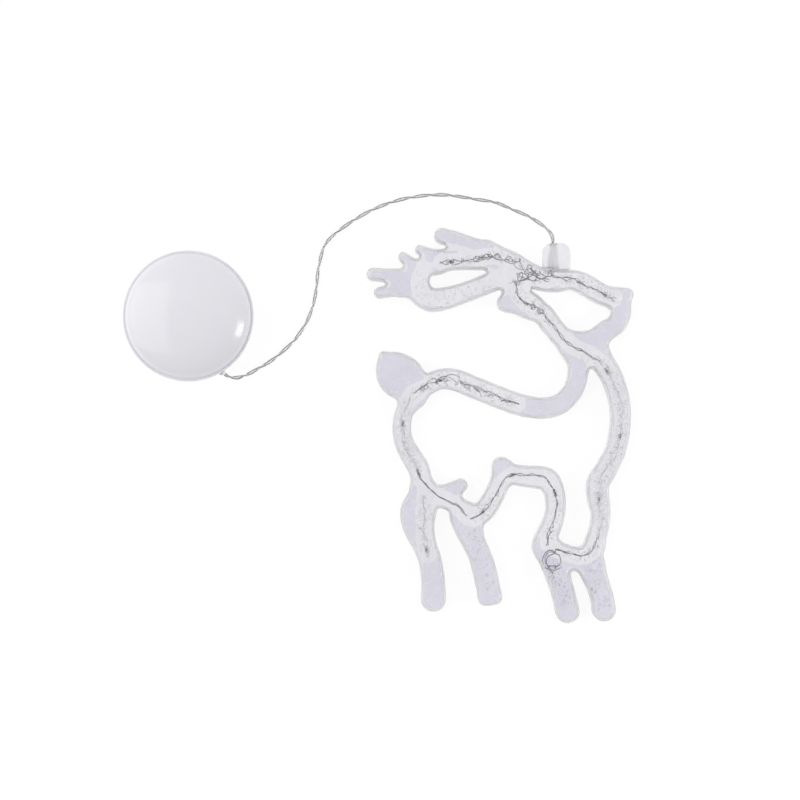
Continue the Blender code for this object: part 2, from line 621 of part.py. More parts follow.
def build_base(box):
    hollow_top, lip_top = SOCKET_BOTTOM + SOCKET_HEIGHT, SOCKET_BOTTOM + SOCKET_LIP_HEIGHT
    profile = [(0, TUB_FLOOR), (0, hollow_top), (SOCKET_HOLLOW_RADIUS, hollow_top),
               (SOCKET_HOLLOW_RADIUS, lip_top), (SOCKET_MOUTH_RADIUS, lip_top),
               (SOCKET_MOUTH_RADIUS, SOCKET_BOTTOM),
               (SOCKET_RADIUS, SOCKET_BOTTOM), (SOCKET_RADIUS, TUB_BOTTOM),
               (TUB_RADIUS - 2.0, TUB_BOTTOM), (TUB_RADIUS - 0.6, TUB_BOTTOM + 0.6),
               (TUB_RADIUS, TUB_BOTTOM + 2.0), (TUB_RADIUS, TUB_SHOULDER),
               (RIM_RADIUS, TUB_SHOULDER), (RIM_RADIUS, TUB_TOP), (TUB_INNER_RADIUS, TUB_TOP),
               (TUB_INNER_RADIUS, TUB_FLOOR)]
    base = solid("battery_base", *turned(profile, BOX_SEGMENTS), WHITE, box, smooth=True)
    slot = box_mesh((SWITCH_X - SLOT_SIZE[0] / 2, SWITCH_Y - SLOT_SIZE[1] / 2, 0),
                    (SWITCH_X + SLOT_SIZE[0] / 2, SWITCH_Y + SLOT_SIZE[1] / 2, 20))
    combine(base, solid("switch_slot_cutter", *slot, None, box))
    combine(base, solid("grommet_hole_cutter", *grommet_rod(-1, 8, GROMMET_RADIUS + GAP), None,
                        box))
    for side in (-1, 1):
        wall_x = CELL_ROW_X + side * (1.5 * CELL_PITCH + CRADLE_CLEARANCE)
        wall = box_mesh((wall_x - CRADLE_THICKNESS / 2, -CRADLE_LENGTH / 2, TUB_FLOOR - SINK),
                        (wall_x + CRADLE_THICKNESS / 2, CRADLE_LENGTH / 2,
                         TUB_FLOOR + CRADLE_HEIGHT))
        combine(base, solid("cradle_wall", *wall, None, box), "UNION")
    for end in (-1, 1):
        post_x, post_y = BOARD_CENTRE[0], BOARD_CENTRE[1] + end * POST_SPREAD
        post = box_mesh((post_x - POST_SIZE[0] / 2, post_y - POST_SIZE[1] / 2, TUB_FLOOR - SINK),
                        (post_x + POST_SIZE[0] / 2, post_y + POST_SIZE[1] / 2,
                         BOARD_BOTTOM - GAP))
        combine(base, solid("board_post", *post, None, box), "UNION")


def dome_profile(edge_radius, edge_z, top_z, steps):
    """A quarter of an ellipse from the edge to the pole."""
    stops = np.linspace(0, math.pi / 2, steps + 1)
    return [(edge_radius * math.cos(s) if s < math.pi / 2 else 0,
             edge_z + (top_z - edge_z) * math.sin(s)) for s in stops]


def build_cover(box):
    skirt_bottom = TUB_SHOULDER + GAP
    outer = dome_profile(DOME_EDGE_RADIUS, LIP_TOP, DOME_TOP, 7)
    inner = dome_profile(RIM_RADIUS + GAP - 0.6, LIP_TOP + 0.3, DOME_TOP - COVER_WALL, 5)
    profile = [(RIM_RADIUS + GAP, skirt_bottom), (BOX_RADIUS - 0.3, skirt_bottom),
               (BOX_RADIUS, skirt_bottom + 0.3), (BOX_RADIUS, LIP_TOP - 0.6),
               (BOX_RADIUS - 0.6, LIP_TOP)] + outer + inner[::-1]
    profile.append((RIM_RADIUS + GAP, LIP_TOP + 0.3))
    solid("battery_cover", *turned(profile, BOX_SEGMENTS), WHITE, box, smooth=True)


def build_suction_cup(box):
    under = [(CUP_RADIUS - 1.2, 0), (CUP_RADIUS - 3.0, 1.0), (CUP_RADIUS * 0.6, 2.4),
             (CUP_RADIUS * 0.3, 3.0), (0, 3.1)]
    over = [(0, SOCKET_BOTTOM + 2.8), (STUD_HEAD_RADIUS - 0.8, SOCKET_BOTTOM + 2.8),
            (STUD_HEAD_RADIUS, SOCKET_BOTTOM + 2.0), (STUD_HEAD_RADIUS, SOCKET_BOTTOM + 1.2),
            (STUD_NECK_RADIUS, SOCKET_BOTTOM + 1.2), (STUD_NECK_RADIUS, CUP_TOP),
            (CUP_RADIUS * 0.35, CUP_TOP), (CUP_RADIUS * 0.65, 4.0), (CUP_RADIUS - 1.0, 1.5),
            (CUP_RADIUS, 0.5), (CUP_RADIUS, 0)]
    solid("suction_cup", *turned(under + over, 36), CLEAR, box, smooth=True)


def build_cells(box):
    half = CELL_LENGTH / 2
    for k in range(3):
        x = CELL_ROW_X + (k - 1) * CELL_PITCH
        way = 1 if k != 1 else -1
        profile = [(0, -half), (CELL_RADIUS - 0.4, -half), (CELL_RADIUS, -half + 0.4),
                   (CELL_RADIUS, half - CELL_BUTTON_LENGTH - 0.4),
                   (CELL_RADIUS - 0.4, half - CELL_BUTTON_LENGTH),
                   (CELL_BUTTON_RADIUS, half - CELL_BUTTON_LENGTH), (CELL_BUTTON_RADIUS, half),
                   (0, half)]
        points, faces = turned(profile, 20)
        placed = [(x + py, way * (pz + CELL_SHIFT), CELL_Z + px) for px, py, pz in points]
        solid(f"cell_{k + 1}", placed, faces, CELL, box, smooth=True)
        build_contacts(box, k, x, way)


def build_contacts(box, k, x, way):
    """Spring at a cell's flat end and plate at its button end."""
    spring_start = CELL_LENGTH / 2 - CELL_SHIFT + GAP + SPRING_WIRE / 2
    stops = np.linspace(0, 1, round(SPRING_TURNS * 8) + 1)
    helix = []
    for s in stops:
        turn = 2 * math.pi * SPRING_TURNS * s
        radius = SPRING_RADIUS * (SPRING_TAPER + (1 - SPRING_TAPER) * s)
        helix.append((x + radius * math.cos(turn), -way * (spring_start + SPRING_RISE * s),
                      CELL_Z + radius * math.sin(turn)))
    tube(f"contact_spring_{k + 1}", helix, SPRING_WIRE / 2, STEEL, sides=1, parent=box)
    face = CELL_LENGTH / 2 + CELL_SHIFT + GAP
    near, far = sorted((way * face, way * (face + CONTACT_THICKNESS)))
    block(f"contact_plate_{k + 1}", (x - CONTACT_HALF_WIDTH, near, TUB_FLOOR + GAP),
          (x + CONTACT_HALF_WIDTH, far, CELL_Z + CONTACT_HALF_WIDTH), STEEL, box)


def build_switch(box):
    low = (SWITCH_X - SWITCH_SIZE[0] / 2, SWITCH_Y - SWITCH_SIZE[1] / 2, TUB_FLOOR + GAP)
    high = (SWITCH_X + SWITCH_SIZE[0] / 2, SWITCH_Y + SWITCH_SIZE[1] / 2,
            TUB_FLOOR + GAP + SWITCH_SIZE[2])
    body = block("switch_body", low, high, STEEL, box)
    pocket = box_mesh((SWITCH_X - SLOT_SIZE[0] / 2, SWITCH_Y - SLOT_SIZE[1] / 2, 0),
                      (SWITCH_X + SLOT_SIZE[0] / 2, SWITCH_Y + SLOT_SIZE[1] / 2,
                       TUB_FLOOR + SWITCH_POCKET_DEPTH))
    combine(body, solid("switch_pocket_cutter", *pocket, None, box))
    knob_y = SWITCH_Y - SWITCH_TRAVEL / 2
    stem = box_mesh((SWITCH_X - KNOB_SIZE[0] / 2, knob_y - KNOB_SIZE[1] / 2, KNOB_BOTTOM),
                    (SWITCH_X + KNOB_SIZE[0] / 2, knob_y + KNOB_SIZE[1] / 2,
                     TUB_FLOOR + KNOB_TOP_ABOVE_FLOOR))
    solid("switch_knob", *stem, KNOB, box, origin=(SWITCH_X, knob_y, KNOB_BOTTOM))


def build_board(box):
    cx, cy = BOARD_CENTRE
    half_x, half_y = BOARD_SIZE[0] / 2, BOARD_SIZE[1] / 2
    top = BOARD_BOTTOM + BOARD_SIZE[2]
    block("circuit_board", (cx - half_x, cy - half_y, BOARD_BOTTOM),
          (cx + half_x, cy + half_y, top), BOARD, box)
    block("control_chip", (cx - CHIP_HALF_WIDTH, cy + CHIP_SPAN[0], top + GAP),
          (cx + CHIP_HALF_WIDTH, cy + CHIP_SPAN[1], top + CHIP_HEIGHT), CHIP, box)
    block("resistor", (cx - RESISTOR_HALF_WIDTH, cy + RESISTOR_SPAN[0], top + GAP),
          (cx + RESISTOR_HALF_WIDTH, cy + RESISTOR_SPAN[1], top + RESISTOR_HEIGHT), RESISTOR,
          box)


def grommet_rod(start, end, radius):
    """A rod on the grommet's axis, from start to end millimetres inward of its outer face."""
    inward = Vector((-math.cos(GROMMET_SLANT), -math.sin(GROMMET_SLANT), 0))
    outer = Vector((*GROMMET_OUTER, GROMMET_Z))
    return rod_between(outer + inward * start, outer + inward * end, radius)


def build_grommet(box):
    body = solid("lead_grommet", *grommet_rod(0, GROMMET_LENGTH, GROMMET_RADIUS), CLEAR, box)
    combine(body, solid("grommet_bore_cutter",
                        *grommet_rod(GROMMET_LENGTH - GROMMET_BORE_DEPTH, GROMMET_LENGTH + 2,
                                     GROMMET_BORE_RADIUS), None, box))


def build_box_wires(box):
    top = BOARD_BOTTOM + BOARD_SIZE[2] + 0.8
    cx, cy = BOARD_CENTRE
    inward = Vector((-math.cos(GROMMET_SLANT), -math.sin(GROMMET_SLANT), 0))
    mouth = Vector((*GROMMET_OUTER, GROMMET_Z)) + inward * (GROMMET_LENGTH + GAP)
    for name, side in (("lead_core_a", -1), ("lead_core_b", 1)):
        core = smooth_route([(mouth.x, mouth.y + side * 0.5, mouth.z),
                             (mouth.x - 1.0, mouth.y - 0.6 + side * 0.5, mouth.z + 1.2),
                             (cx + 2.4, cy + 4.4 + side * 0.7, top + 1.0),
                             (cx + 1.2, cy + 3.9 + side * 0.7, top)], 4)
        tube(name, core, CORE_RADIUS, WIRE, sides=1, parent=box)
    red = smooth_route([(19.0, 14.5, 12.5), (18.4, 17.2, 13.4), (17.7, 20.2, 14.6),
                        (15.9, 23.0, 15.4), (13.4, 23.5, 15.5)], 4)
    black = smooth_route([(20.7, -13.4, top), (19.6, -17.0, 14.6), (17.8, -20.3, 15.5),
                          (15.9, -22.9, 16.0), (13.9, -23.7, 16.0)], 4)
    tube("box_wire_red", red, BOX_WIRE_RADIUS, RED, sides=1, parent=box)
    tube("box_wire_black", black, BOX_WIRE_RADIUS, BLACK, sides=1, parent=box)


def build_battery_box():
    box = bpy.data.objects.new("battery_box", None)
    bpy.context.scene.collection.objects.link(box)
    box.location = (BOX_CENTRE[0] * MM, BOX_CENTRE[1] * MM, 0)
    box.rotation_euler = (0, 0, BOX_TURN)
    for build in (build_base, build_cover, build_suction_cup, build_cells, build_switch,
                  build_board, build_grommet, build_box_wires):
        build(box)


def main():
    clear_scene()
    field_grid = frame_field()
    build_frame(field_grid)
    build_gland(field_grid)
    build_led_wires()
    build_lead()
    build_battery_box()


main()
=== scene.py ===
"""Looks for the battery window light: a flat clear reindeer with LED wire inside, on a short
twisted lead from a round white battery box with a suction cup.

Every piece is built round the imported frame. Lengths are in millimetres, in the frame's own
axes, and MM turns them into metres."""
import math

import bmesh
import bpy
import numpy as np
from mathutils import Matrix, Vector
from mathutils.geometry import tessellate_polygon


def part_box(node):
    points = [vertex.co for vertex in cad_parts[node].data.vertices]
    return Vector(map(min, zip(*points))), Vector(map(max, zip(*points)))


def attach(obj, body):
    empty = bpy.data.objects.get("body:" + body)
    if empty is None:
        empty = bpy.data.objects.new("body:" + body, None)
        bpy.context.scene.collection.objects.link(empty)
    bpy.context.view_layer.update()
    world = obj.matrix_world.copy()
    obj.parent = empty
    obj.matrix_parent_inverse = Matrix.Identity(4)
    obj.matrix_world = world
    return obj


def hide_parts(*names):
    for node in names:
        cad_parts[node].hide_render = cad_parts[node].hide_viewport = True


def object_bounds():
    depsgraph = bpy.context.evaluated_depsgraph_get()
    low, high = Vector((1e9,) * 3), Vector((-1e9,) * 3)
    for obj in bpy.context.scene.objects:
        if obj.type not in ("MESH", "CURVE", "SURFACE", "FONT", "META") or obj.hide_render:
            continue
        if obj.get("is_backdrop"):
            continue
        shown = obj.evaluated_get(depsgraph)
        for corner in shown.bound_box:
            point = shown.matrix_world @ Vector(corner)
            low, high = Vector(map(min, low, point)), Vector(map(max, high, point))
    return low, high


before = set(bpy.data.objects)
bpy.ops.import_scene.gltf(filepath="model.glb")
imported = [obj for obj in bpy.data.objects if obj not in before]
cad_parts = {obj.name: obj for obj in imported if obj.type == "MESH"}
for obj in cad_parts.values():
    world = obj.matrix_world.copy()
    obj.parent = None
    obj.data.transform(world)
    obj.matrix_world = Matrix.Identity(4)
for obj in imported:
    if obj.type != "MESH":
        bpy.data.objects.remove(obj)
cad_low, cad_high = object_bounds()

MM = 0.001
UP = np.array((0.0, 0.0, 1.0))
ALMOST_QUARTER = 1.57          # beyond this angle a turned profile's point is a pole

# ---- the view
VIEW_WIDTH = 400.0             # what the picture takes in, at the height of the frame's wires
VIEW_LEVEL = 7.0
VIEW_OFFSET = (10.4, 3.7)      # from the middle of the CAD box
LENS, SENSOR = 100.0, 36.0

# ---- the paper the object lies on, in metres, and the room round it
FLOOR_HALF, FLOOR_DROP = 4.0, 0.0002
PAPER_COLOUR, PAPER_GLOW = (0.13, 0.13, 0.13), 0.9
ROOM_COLOUR, ROOM_DIM, ROOM_BRIGHT = (0.975, 0.975, 1), 0.32, 0.82

# ---- the reindeer's frame, as in the part
FRAME_DEPTH = 9.0
WALL = 1.2
ROOF = FRAME_DEPTH - WALL      # the underside of the shell's front
PLATE_INSET = 1.5
BLEND = 3.0
GRID, INNER_GRID = 1.0, 0.8     # on which the frame's and its inner layers' outlines are traced
OUTLINE_SPACING = 0.8
SMALLEST_OUTLINE, SMALLEST_INNER = 12.0, 8.0    # shorter loops are left out
FIELD_BOX = (-10.0, -104.0, 132.0, 104.0)
LIMBS = {
    "brow_tine": [(-3, 75.6, 3.3), (3.5, 75.1, 3.4), (8.5, 73.8, 4.6), (12, 71.3, 6)],
    "bay_tine": [(0.2, 66.4, 2.8), (5.5, 67.5, 3.1), (11.4, 69.3, 4.2), (17.4, 71.8, 6.5)],
    "antler_palm": [(12, 71.3, 6), (17.4, 71.8, 6.8)],
    "antler_loop": [(29.4, 81.5, 5.2), (22.4, 78.8, 5.2), (19.2, 72.8, 5.2), (20.8, 66.4, 5.8),
                    (26, 63, 6), (33, 63.6, 5.6), (40.4, 65.8, 5.1), (48, 68.5, 5),
                    (55.4, 71.5, 5), (63, 74.3, 5)],
    "antler_top": [(29.4, 81.5, 5.2), (36, 83.3, 5.6), (48, 82.7, 4.8), (56.4, 82.5, 5),
                   (66, 80, 6)],
    "short_tine": [(11.9, 84.4, 2.4), (14.9, 81.5, 3.1), (17.9, 77.8, 4)],
    "small_tine": [(20.2, 88, 2.3), (24.4, 86.2, 2.7), (28.4, 84, 3.2)],
    "long_tine": [(31.5, 94.85, 4.0), (39, 92.9, 3.9), (46.4, 90.6, 3.6), (54, 87.8, 4)],
    "head_top": [(54, 87.3, 5.2), (60.4, 83.8, 5.6), (67.4, 79.8, 6), (74.4, 76, 6),
                 (81, 73.3, 5.8), (88.4, 72.4, 5.7), (95.4, 72.9, 5), (101.4, 71.4, 5.2),
                 (107, 68.2, 5.3), (112.4, 65.2, 5.1), (118.4, 63.6, 4.8)],
    "nose": [(118.4, 63.8, 4.6), (124.2, 65.8, 3)],
    "snout": [(120.8, 62, 4.9), (121, 55.8, 4.9), (118.4, 50.7, 5), (113.4, 47.2, 5.3),
              (108.9, 42.8, 5.9), (104.4, 38, 6.8)],
    "cheek": [(97, 42.3, 5), (103, 42, 5.2)],
    "head_back": [(67.6, 76.8, 6), (67.4, 70.8, 5.9), (69.4, 65.3, 5.6), (75, 60.5, 5.4)],
    "ear": [(63.4, 61.4, 4.5), (70, 60.3, 5), (76, 58.8, 5.4)],
    "neck": [(75, 60.5, 5.4), (82.1, 55.6, 5.3), (86.1, 50.4, 5.2), (91, 44.6, 5.2),
             (96.4, 39.8, 5.7), (103.4, 37, 6.6), (108.5, 36, 6)],
    "chest": [(110.6, 33.8, 5.8), (115.6, 25.8, 5.5), (118.8, 17.8, 5.3), (120.7, 8.8, 5.1),
              (120.6, -1.2, 5), (118.4, -12.2, 5), (113.8, -21.7, 5.4), (109.6, -29.2, 5.6),
              (109.8, -37.2, 5.4), (111, -43.7, 4.8), (110.2, -50.7, 4.7), (108.2, -57.7, 4.7)],
    "back": [(96.4, 37.8, 5.5), (99.4, 31.8, 5.2), (99.4, 24.8, 5), (96.8, 17.3, 5),
             (91.7, 11.6, 5.1), (85, 9, 5.3), (77.4, 8.9, 5.4), (68, 11.1, 5.5),
             (56.4, 15.5, 5.5), (45.4, 20, 5.5), (38, 22.8, 5.5), (31, 23.2, 5.2),
             (24.4, 20.2, 5), (18, 15.3, 4.5)],
    "rump": [(18.4, 14.8, 4.7), (14.4, 9.8, 4.7), (11.9, 4.3, 4.7), (11.3, -2.2, 4.7),
             (12.6, -8.7, 4.9), (16, -15.2, 5.2), (19.3, -20.7, 5.4), (21.2, -26.7, 5.2),
             (21.4, -31.2, 5.4)],
    "tail": [(2, 35, 2.2), (9, 26, 10.5), (13.6, 22, 10.2), (16.4, 14.8, 6.8)],
    "far_hind_leg": [(21.4, -31.2, 5.4), (20.9, -36.2, 6.7), (19.8, -42.2, 8.9),
                     (19.3, -46.7, 8.6), (20.3, -52.7, 7.4), (22.9, -60.2, 6),
                     (25.3, -66.7, 5.8), (26.6, -73.7, 5.9), (27.2, -81.2, 6.1),
                     (27.1, -86.8, 6.3)],
    "flank": [(22.4, -32.2, 5), (30.4, -35.7, 5), (38, -39.4, 4.8), (43, -45, 5.4)],
    "flank_tip": [(35, -34, 5), (41, -29.8, 3.2)],
    "near_hind_leg": [(43, -46, 7.6), (44.6, -50.7, 7.3), (46.8, -57.2, 6.1), (49.8, -63.7, 5.8),
                      (52.3, -71.2, 6), (54, -78.7, 6), (55.1, -83.2, 5.8)],
    "near_hind_hoof": [(52.6, -87, 2.9), (58.4, -86.3, 2.9)],
    "stifle": [(46.5, -46.4, 5), (52.4, -42.9, 5.2), (56.4, -37, 5.1), (59.8, -30.2, 5),
               (61.2, -24.7, 4.8), (61.3, -20.6, 4.2)],
    "belly": [(61.3, -20.6, 4.2), (67, -24.2, 5.1), (73.4, -25.5, 5.4), (80.4, -26.1, 5.7),
              (84.4, -27.2, 5.7), (87.4, -32.5, 5.2), (88.4, -38.7, 5), (88, -44.2, 4.9),
              (86.2, -50.2, 5.1), (83.8, -55.6, 5.4), (83.6, -60.7, 6.4)],
    "near_foreleg": [(83.6, -60.7, 6.4), (87.2, -68.7, 6.6), (89.2, -74.2, 6.3),
                     (90.8, -79.7, 5.9), (92.4, -85.2, 5.9), (94.2, -92.9, 6)],
    "knee_bridge": [(85, -62.7, 5.8), (90.4, -64.3, 5.8), (96.4, -66.4, 5.9), (103.4, -67.4, 6.2)],
    "far_foreleg": [(108, -60.7, 4.8), (106.4, -65.2, 5.8), (106.4, -70.2, 6.8),
                    (107.9, -75.7, 6.3), (110, -81.2, 5.8), (111.6, -86.7, 5.7),
                    (112.4, -92, 5.9)],
}

# Away from the wires and from the palm the frame is moulded thicker, and looks darker
CHANNEL_HALF = 4.3
THIN_PALM = [(22.4, 78.8), (19.5, 72.0), (21.0, 66.0), (27.0, 63.4), (36.0, 64.5), (46.0, 67.7),
             (56.0, 71.8), (63.5, 76.0)]
THIN_PALM_HALF = 3.9
THICK_INSET, THICK_LOW, THICK_HIGH = 1.5, 5.9, 7.65

# ---- the cord gland, as in the part, and where the lead enters it
GLAND_CENTRE_X, GLAND_WIDTH, GLAND_ROUND = 88.7, 13.8, 5.0
GLAND_FOOT_Y, GLAND_MIDDLE_Y, GLAND_TOP_Y = 75.0, 81.0, 91.2
GLAND_LOW, GLAND_HIGH = 0.5, 8.5
GLAND_BOX = (79.0, 74.0, 98.0, 93.0)
GAP = 0.3
ENTRY_X, ENTRY_Z, ENTRY_RADIUS = 87.2, 4.5, 2.0
IN_GLAND_Y = 77.5              # wire beyond this lies in the gland, clear of the channel

# ---- the twisted-pair lead's route, as in the part
LEAD_ROUTE = [(-76.9, 25.8, 12.0), (-75.0, 24.4, 11.7), (-71.4, 23.9, 9.4), (-67.2, 25.0, 5.4),
              (-61.4, 28.2, 2.2), (-53.4, 33.2, 1.2), (-43.3, 42.2, 1.2), (-37.2, 50.8, 1.2),
              (-33.6, 59.3, 1.2), (-31.7, 68.3, 1.2), (-30.5, 79.3, 1.2), (-27.5, 90.3, 1.2),
              (-21.5, 96.8, 1.2), (-13.0, 103.0, 1.2), (-2.1, 109.0, 1.2), (10.0, 113.3, 1.2),
              (20.9, 115.3, 1.2), (29.4, 115.9, 1.2), (36.7, 115.5, 1.2), (47.6, 113.8, 1.2),
              (58.5, 112.0, 1.2), (65.8, 109.0, 1.2), (75.5, 104.8, 1.2), (82.4, 100.2, 2.0),
              (86.2, 96.0, 3.6), (87.2, 91.6, 4.5)]
STRAND_RADIUS = 0.52
STRAND_OFFSET = 0.56
LEAD_PITCH = 20.5
CONDUCTOR_RADIUS = 0.19

# ---- LED wire runs, as in the part, and how each one wanders inside the channel
WIRES = {
    "antler": (4.5, [(87.2, 90.6), (87.2, 82), (86.6, 76.4), (80.4, 75.6), (74.4, 78.4),
                     (67.9, 82.2), (60.4, 84.5), (52.9, 84.4), (45.4, 82.8), (38.4, 82),
                     (31.4, 81.9)]),
    "nose": (2.6, [(87.2, 75.2), (92.9, 73.3), (98.4, 72.4), (105.4, 69.4), (113.4, 65.4),
                   (117.6, 63.6)]),
    "chest": (2.6, [(84, 73.2), (80, 74), (74.4, 75.2), (69.4, 73.6), (67.9, 69.8),
                    (70.9, 63.6), (75.9, 59.8), (81.9, 56.4), (86.4, 51), (91.4, 44.8),
                    (97.9, 39), (104.4, 36), (110.9, 31.4), (116.4, 23.8), (119.9, 15.3),
                    (121.2, 5.3), (120.9, -4.7), (117.9, -14.7), (112.9, -23.2),
                    (109.9, -30.7), (110.4, -39.7), (110.7, -49.7), (109.4, -57.4),
                    (105.6, -63.6), (100.4, -65.4), (94.4, -63.9), (88.9, -61.9)]),
    "belly": (2.6, [(84.6, -59), (84.9, -54.7), (87, -49.7), (88.6, -44.2), (88.9, -38.7),
                    (87.2, -31.4), (83.6, -26.6), (80.4, -25.5), (72.9, -24.6), (66.4, -24.8),
                    (61.4, -29.2), (57.4, -36.2), (52, -43), (46.6, -46.6)]),
    "flank": (2.6, [(43, -44.4), (39.4, -40.6), (33.9, -37.4), (26.9, -33.6), (20.9, -26.2),
                    (16.4, -16.4), (12.2, -6.4), (11.9, 2.8), (13.9, 9.8), (15.2, 13.4)]),
    "leg": (2.6, [(22.6, -36.4), (22.2, -42), (22.4, -48), (22.4, -54), (23.2, -60),
                  (24.4, -65)]),
    "back": (2.6, [(17.6, 16.6), (22.4, 18.6), (28, 22), (34.4, 23.6), (40.4, 21.8),
                   (47.9, 18.5), (55.4, 15.6), (62.9, 12.6), (69, 10.9)]),
}
# Slack coiled at the end of the chest's run, as in the part
COIL_CENTRE, COIL_RADIUS, COIL_TURNS, COIL_RISE = (87.7, -67.6), 3.9, 1.6, 1.3
COIL_START = math.radians(80)
COIL_LENGTH = 43.0
OUTER_END = 27.0               # the coil's outer wire ends this far before the inner one
# Stretches seen through a frosted layer: (run, from, to)
FROSTED = [("chest", 82.0, 166.0), ("flank", 38.0, 92.0), ("leg", 0.0, 40.0)]
FROST_LOW, FROST_HIGH, FROST_INSET = 6.0, 6.35, 1.7
# How far a run's two strands stray from each other
SLACK = {"antler": 0.8, "nose": 0.7, "chest": 0.4, "belly": 0.3, "flank": 0.3, "leg": 0.7,
         "back": 0.9}
# Wire folded back on itself: (distance along the run, length, folds, width)
TANGLES = {
    "antler": [(19, 9, 1.5, 1.2), (30, 14, 1.8, 2.4), (41, 14, 2.0, 1.6), (52, 14, 2.5, 1.2),
               (64, 10, 1.5, 1.0)],
    "nose": [(9, 12, 2.0, 1.3), (22, 9, 1.0, 0.8)],
    "chest": [(12, 16, 3.0, 2.4), (22, 8, 1.0, 1.2), (38, 11, 2.5, 1.3), (82, 13, 0.5, 0.8),
              (104, 13, 0.5, 0.7), (128, 12, 0.5, 0.7), (149, 14, 2.0, 1.1), (163, 10, 1.0, 0.9),
              (213, 6, 2.0, 0.9)],
    "belly": [(7, 8, 1.0, 0.7), (73, 10, 1.5, 0.9)],
    "flank": [(9, 10, 1.0, 0.5), (47, 14, 1.5, 0.9), (61, 10, 1.0, 0.9)],
    "leg": [(9, 9, 1.0, 0.8), (21, 9, 1.5, 0.9)],
    "back": [(9, 14, 2.0, 1.4), (20, 16, 2.0, 1.7), (32, 18, 2.0, 1.8), (44, 14, 1.5, 1.5)],
}
# Stretches without wire that are mottled underneath
MOTTLED = {
    "hoof": [(85.6, -68.0), (89.4, -76.4), (91.2, -82.6), (94.0, -92.0)],
    "hind": [(45.0, -54.0), (49.0, -64.0), (52.6, -74.0), (54.6, -83.0)],
    "fore": [(106.6, -68.0), (108.4, -77.0), (111.4, -87.0), (112.2, -92.0)],
    "palm": [(21.0, 76.0), (20.5, 68.0), (26.0, 63.4), (36.0, 64.5), (46.0, 67.8), (56.0, 71.8)],
}
# Where the frame is bubbled: (distance along, length, spacing, share of it that is ripples)
RIPPLES = {
    "antler": [(18, 40, 1.5, 0.1), (58, 14, 1.7, 0.9)],
    "nose": [(4, 20, 1.5, 0.2), (24, 9, 1.8, 0.9)],
    "chest": [(4, 44, 1.6, 0.2), (68, 78, 1.7, 0.15), (146, 30, 1.7, 0.8), (176, 46, 1.6, 0.2)],
    "belly": [(4, 20, 2.2, 0.2), (64, 28, 1.8, 0.3)],
    "flank": [(30, 60, 1.8, 0.2)],
    "leg": [(0, 32, 2.0, 0.2)],
    "back": [(0, 56, 1.5, 0.2)],
    "hoof": [(0, 26, 0.95, 0.0)],
    "hind": [(0, 30, 2.2, 0.0)],
    "fore": [(0, 24, 1.8, 0.0)],
    "palm": [(0, 48, 2.4, 0.0)],
}
# Bubbles and ripples stay this clear of the walls and the roof, and need this much room
MARK_CLEARANCE, ROOF_GAP, MARK_LEAST_ROOM = 0.6, 0.08, 1.2
BUBBLE_FLATTENING = 0.7
LED_COUNTS = {"antler": 2, "nose": 2, "chest": 4, "belly": 3, "flank": 2, "leg": 1, "back": 3}
ENAMEL_RADIUS = 0.2
HIDDEN_THINNING = 0.62         # how much finer the wire reads behind frost or in the gland
ENAMEL_PITCH = 11.0
COILED_THICKENING = 1.3        # and how much bolder in the coil
WIRE_STEP, WIRE_END = 0.08, 1.3
WIRE_SPREAD_AT_LED = 2.2       # the wires rise to each LED over about this distance
WIRE_CLEARANCE = 0.55
DROP_RADIUS, DROP_LENGTH = 1.1, 4.0

# ---- the battery box, as in the part: its own X points to the lead's exit
BOX_TURN = math.radians(-59)
TUB_RADIUS, TUB_BOTTOM, TUB_FLOOR = 32.0, 8.4, 9.6
TUB_SHOULDER, TUB_TOP = 14.8, 16.8
RIM_RADIUS, TUB_INNER_RADIUS = 30.6, 29.3
SOCKET_RADIUS, SOCKET_BOTTOM = 7.5, 5.5
BOX_RADIUS, LIP_TOP = 32.5, 17.0
DOME_TOP, DOME_EDGE_RADIUS, COVER_WALL = 28.5, 31.1, 1.4
CUP_RADIUS, CUP_TOP = 19.0, 5.2
STUD_NECK_RADIUS, STUD_HEAD_RADIUS = 2.8, 4.4
CELL_RADIUS, CELL_LENGTH = 5.15, 44.5
CELL_PITCH, CELL_ROW_X, CELL_SHIFT = 10.9, -1.0, 0.7
SPRING_TURNS, SPRING_RADIUS, SPRING_RISE = 2.5, 2.9, 1.5
CELL_Z = TUB_FLOOR + GAP + CELL_RADIUS
SWITCH_X, SWITCH_Y = 22.0, 9.5
SWITCH_SIZE, SWITCH_TRAVEL = (4.4, 8.6, 3.6), 2.5
SLOT_SIZE = (2.8, 6.4)
KNOB_SIZE, KNOB_BOTTOM = (2.2, 3.2), 7.2
BOARD_CENTRE, BOARD_SIZE, BOARD_BOTTOM = (22.2, -8.2), (6.6, 12.0, 1.0), 12.0
GROMMET_OUTER, GROMMET_SLANT, GROMMET_LENGTH = (33.3, 0.3, 12.0), math.radians(21), 6.0
GROMMET_WAY = np.array((-math.cos(GROMMET_SLANT), -math.sin(GROMMET_SLANT), 0))


# ---- materials

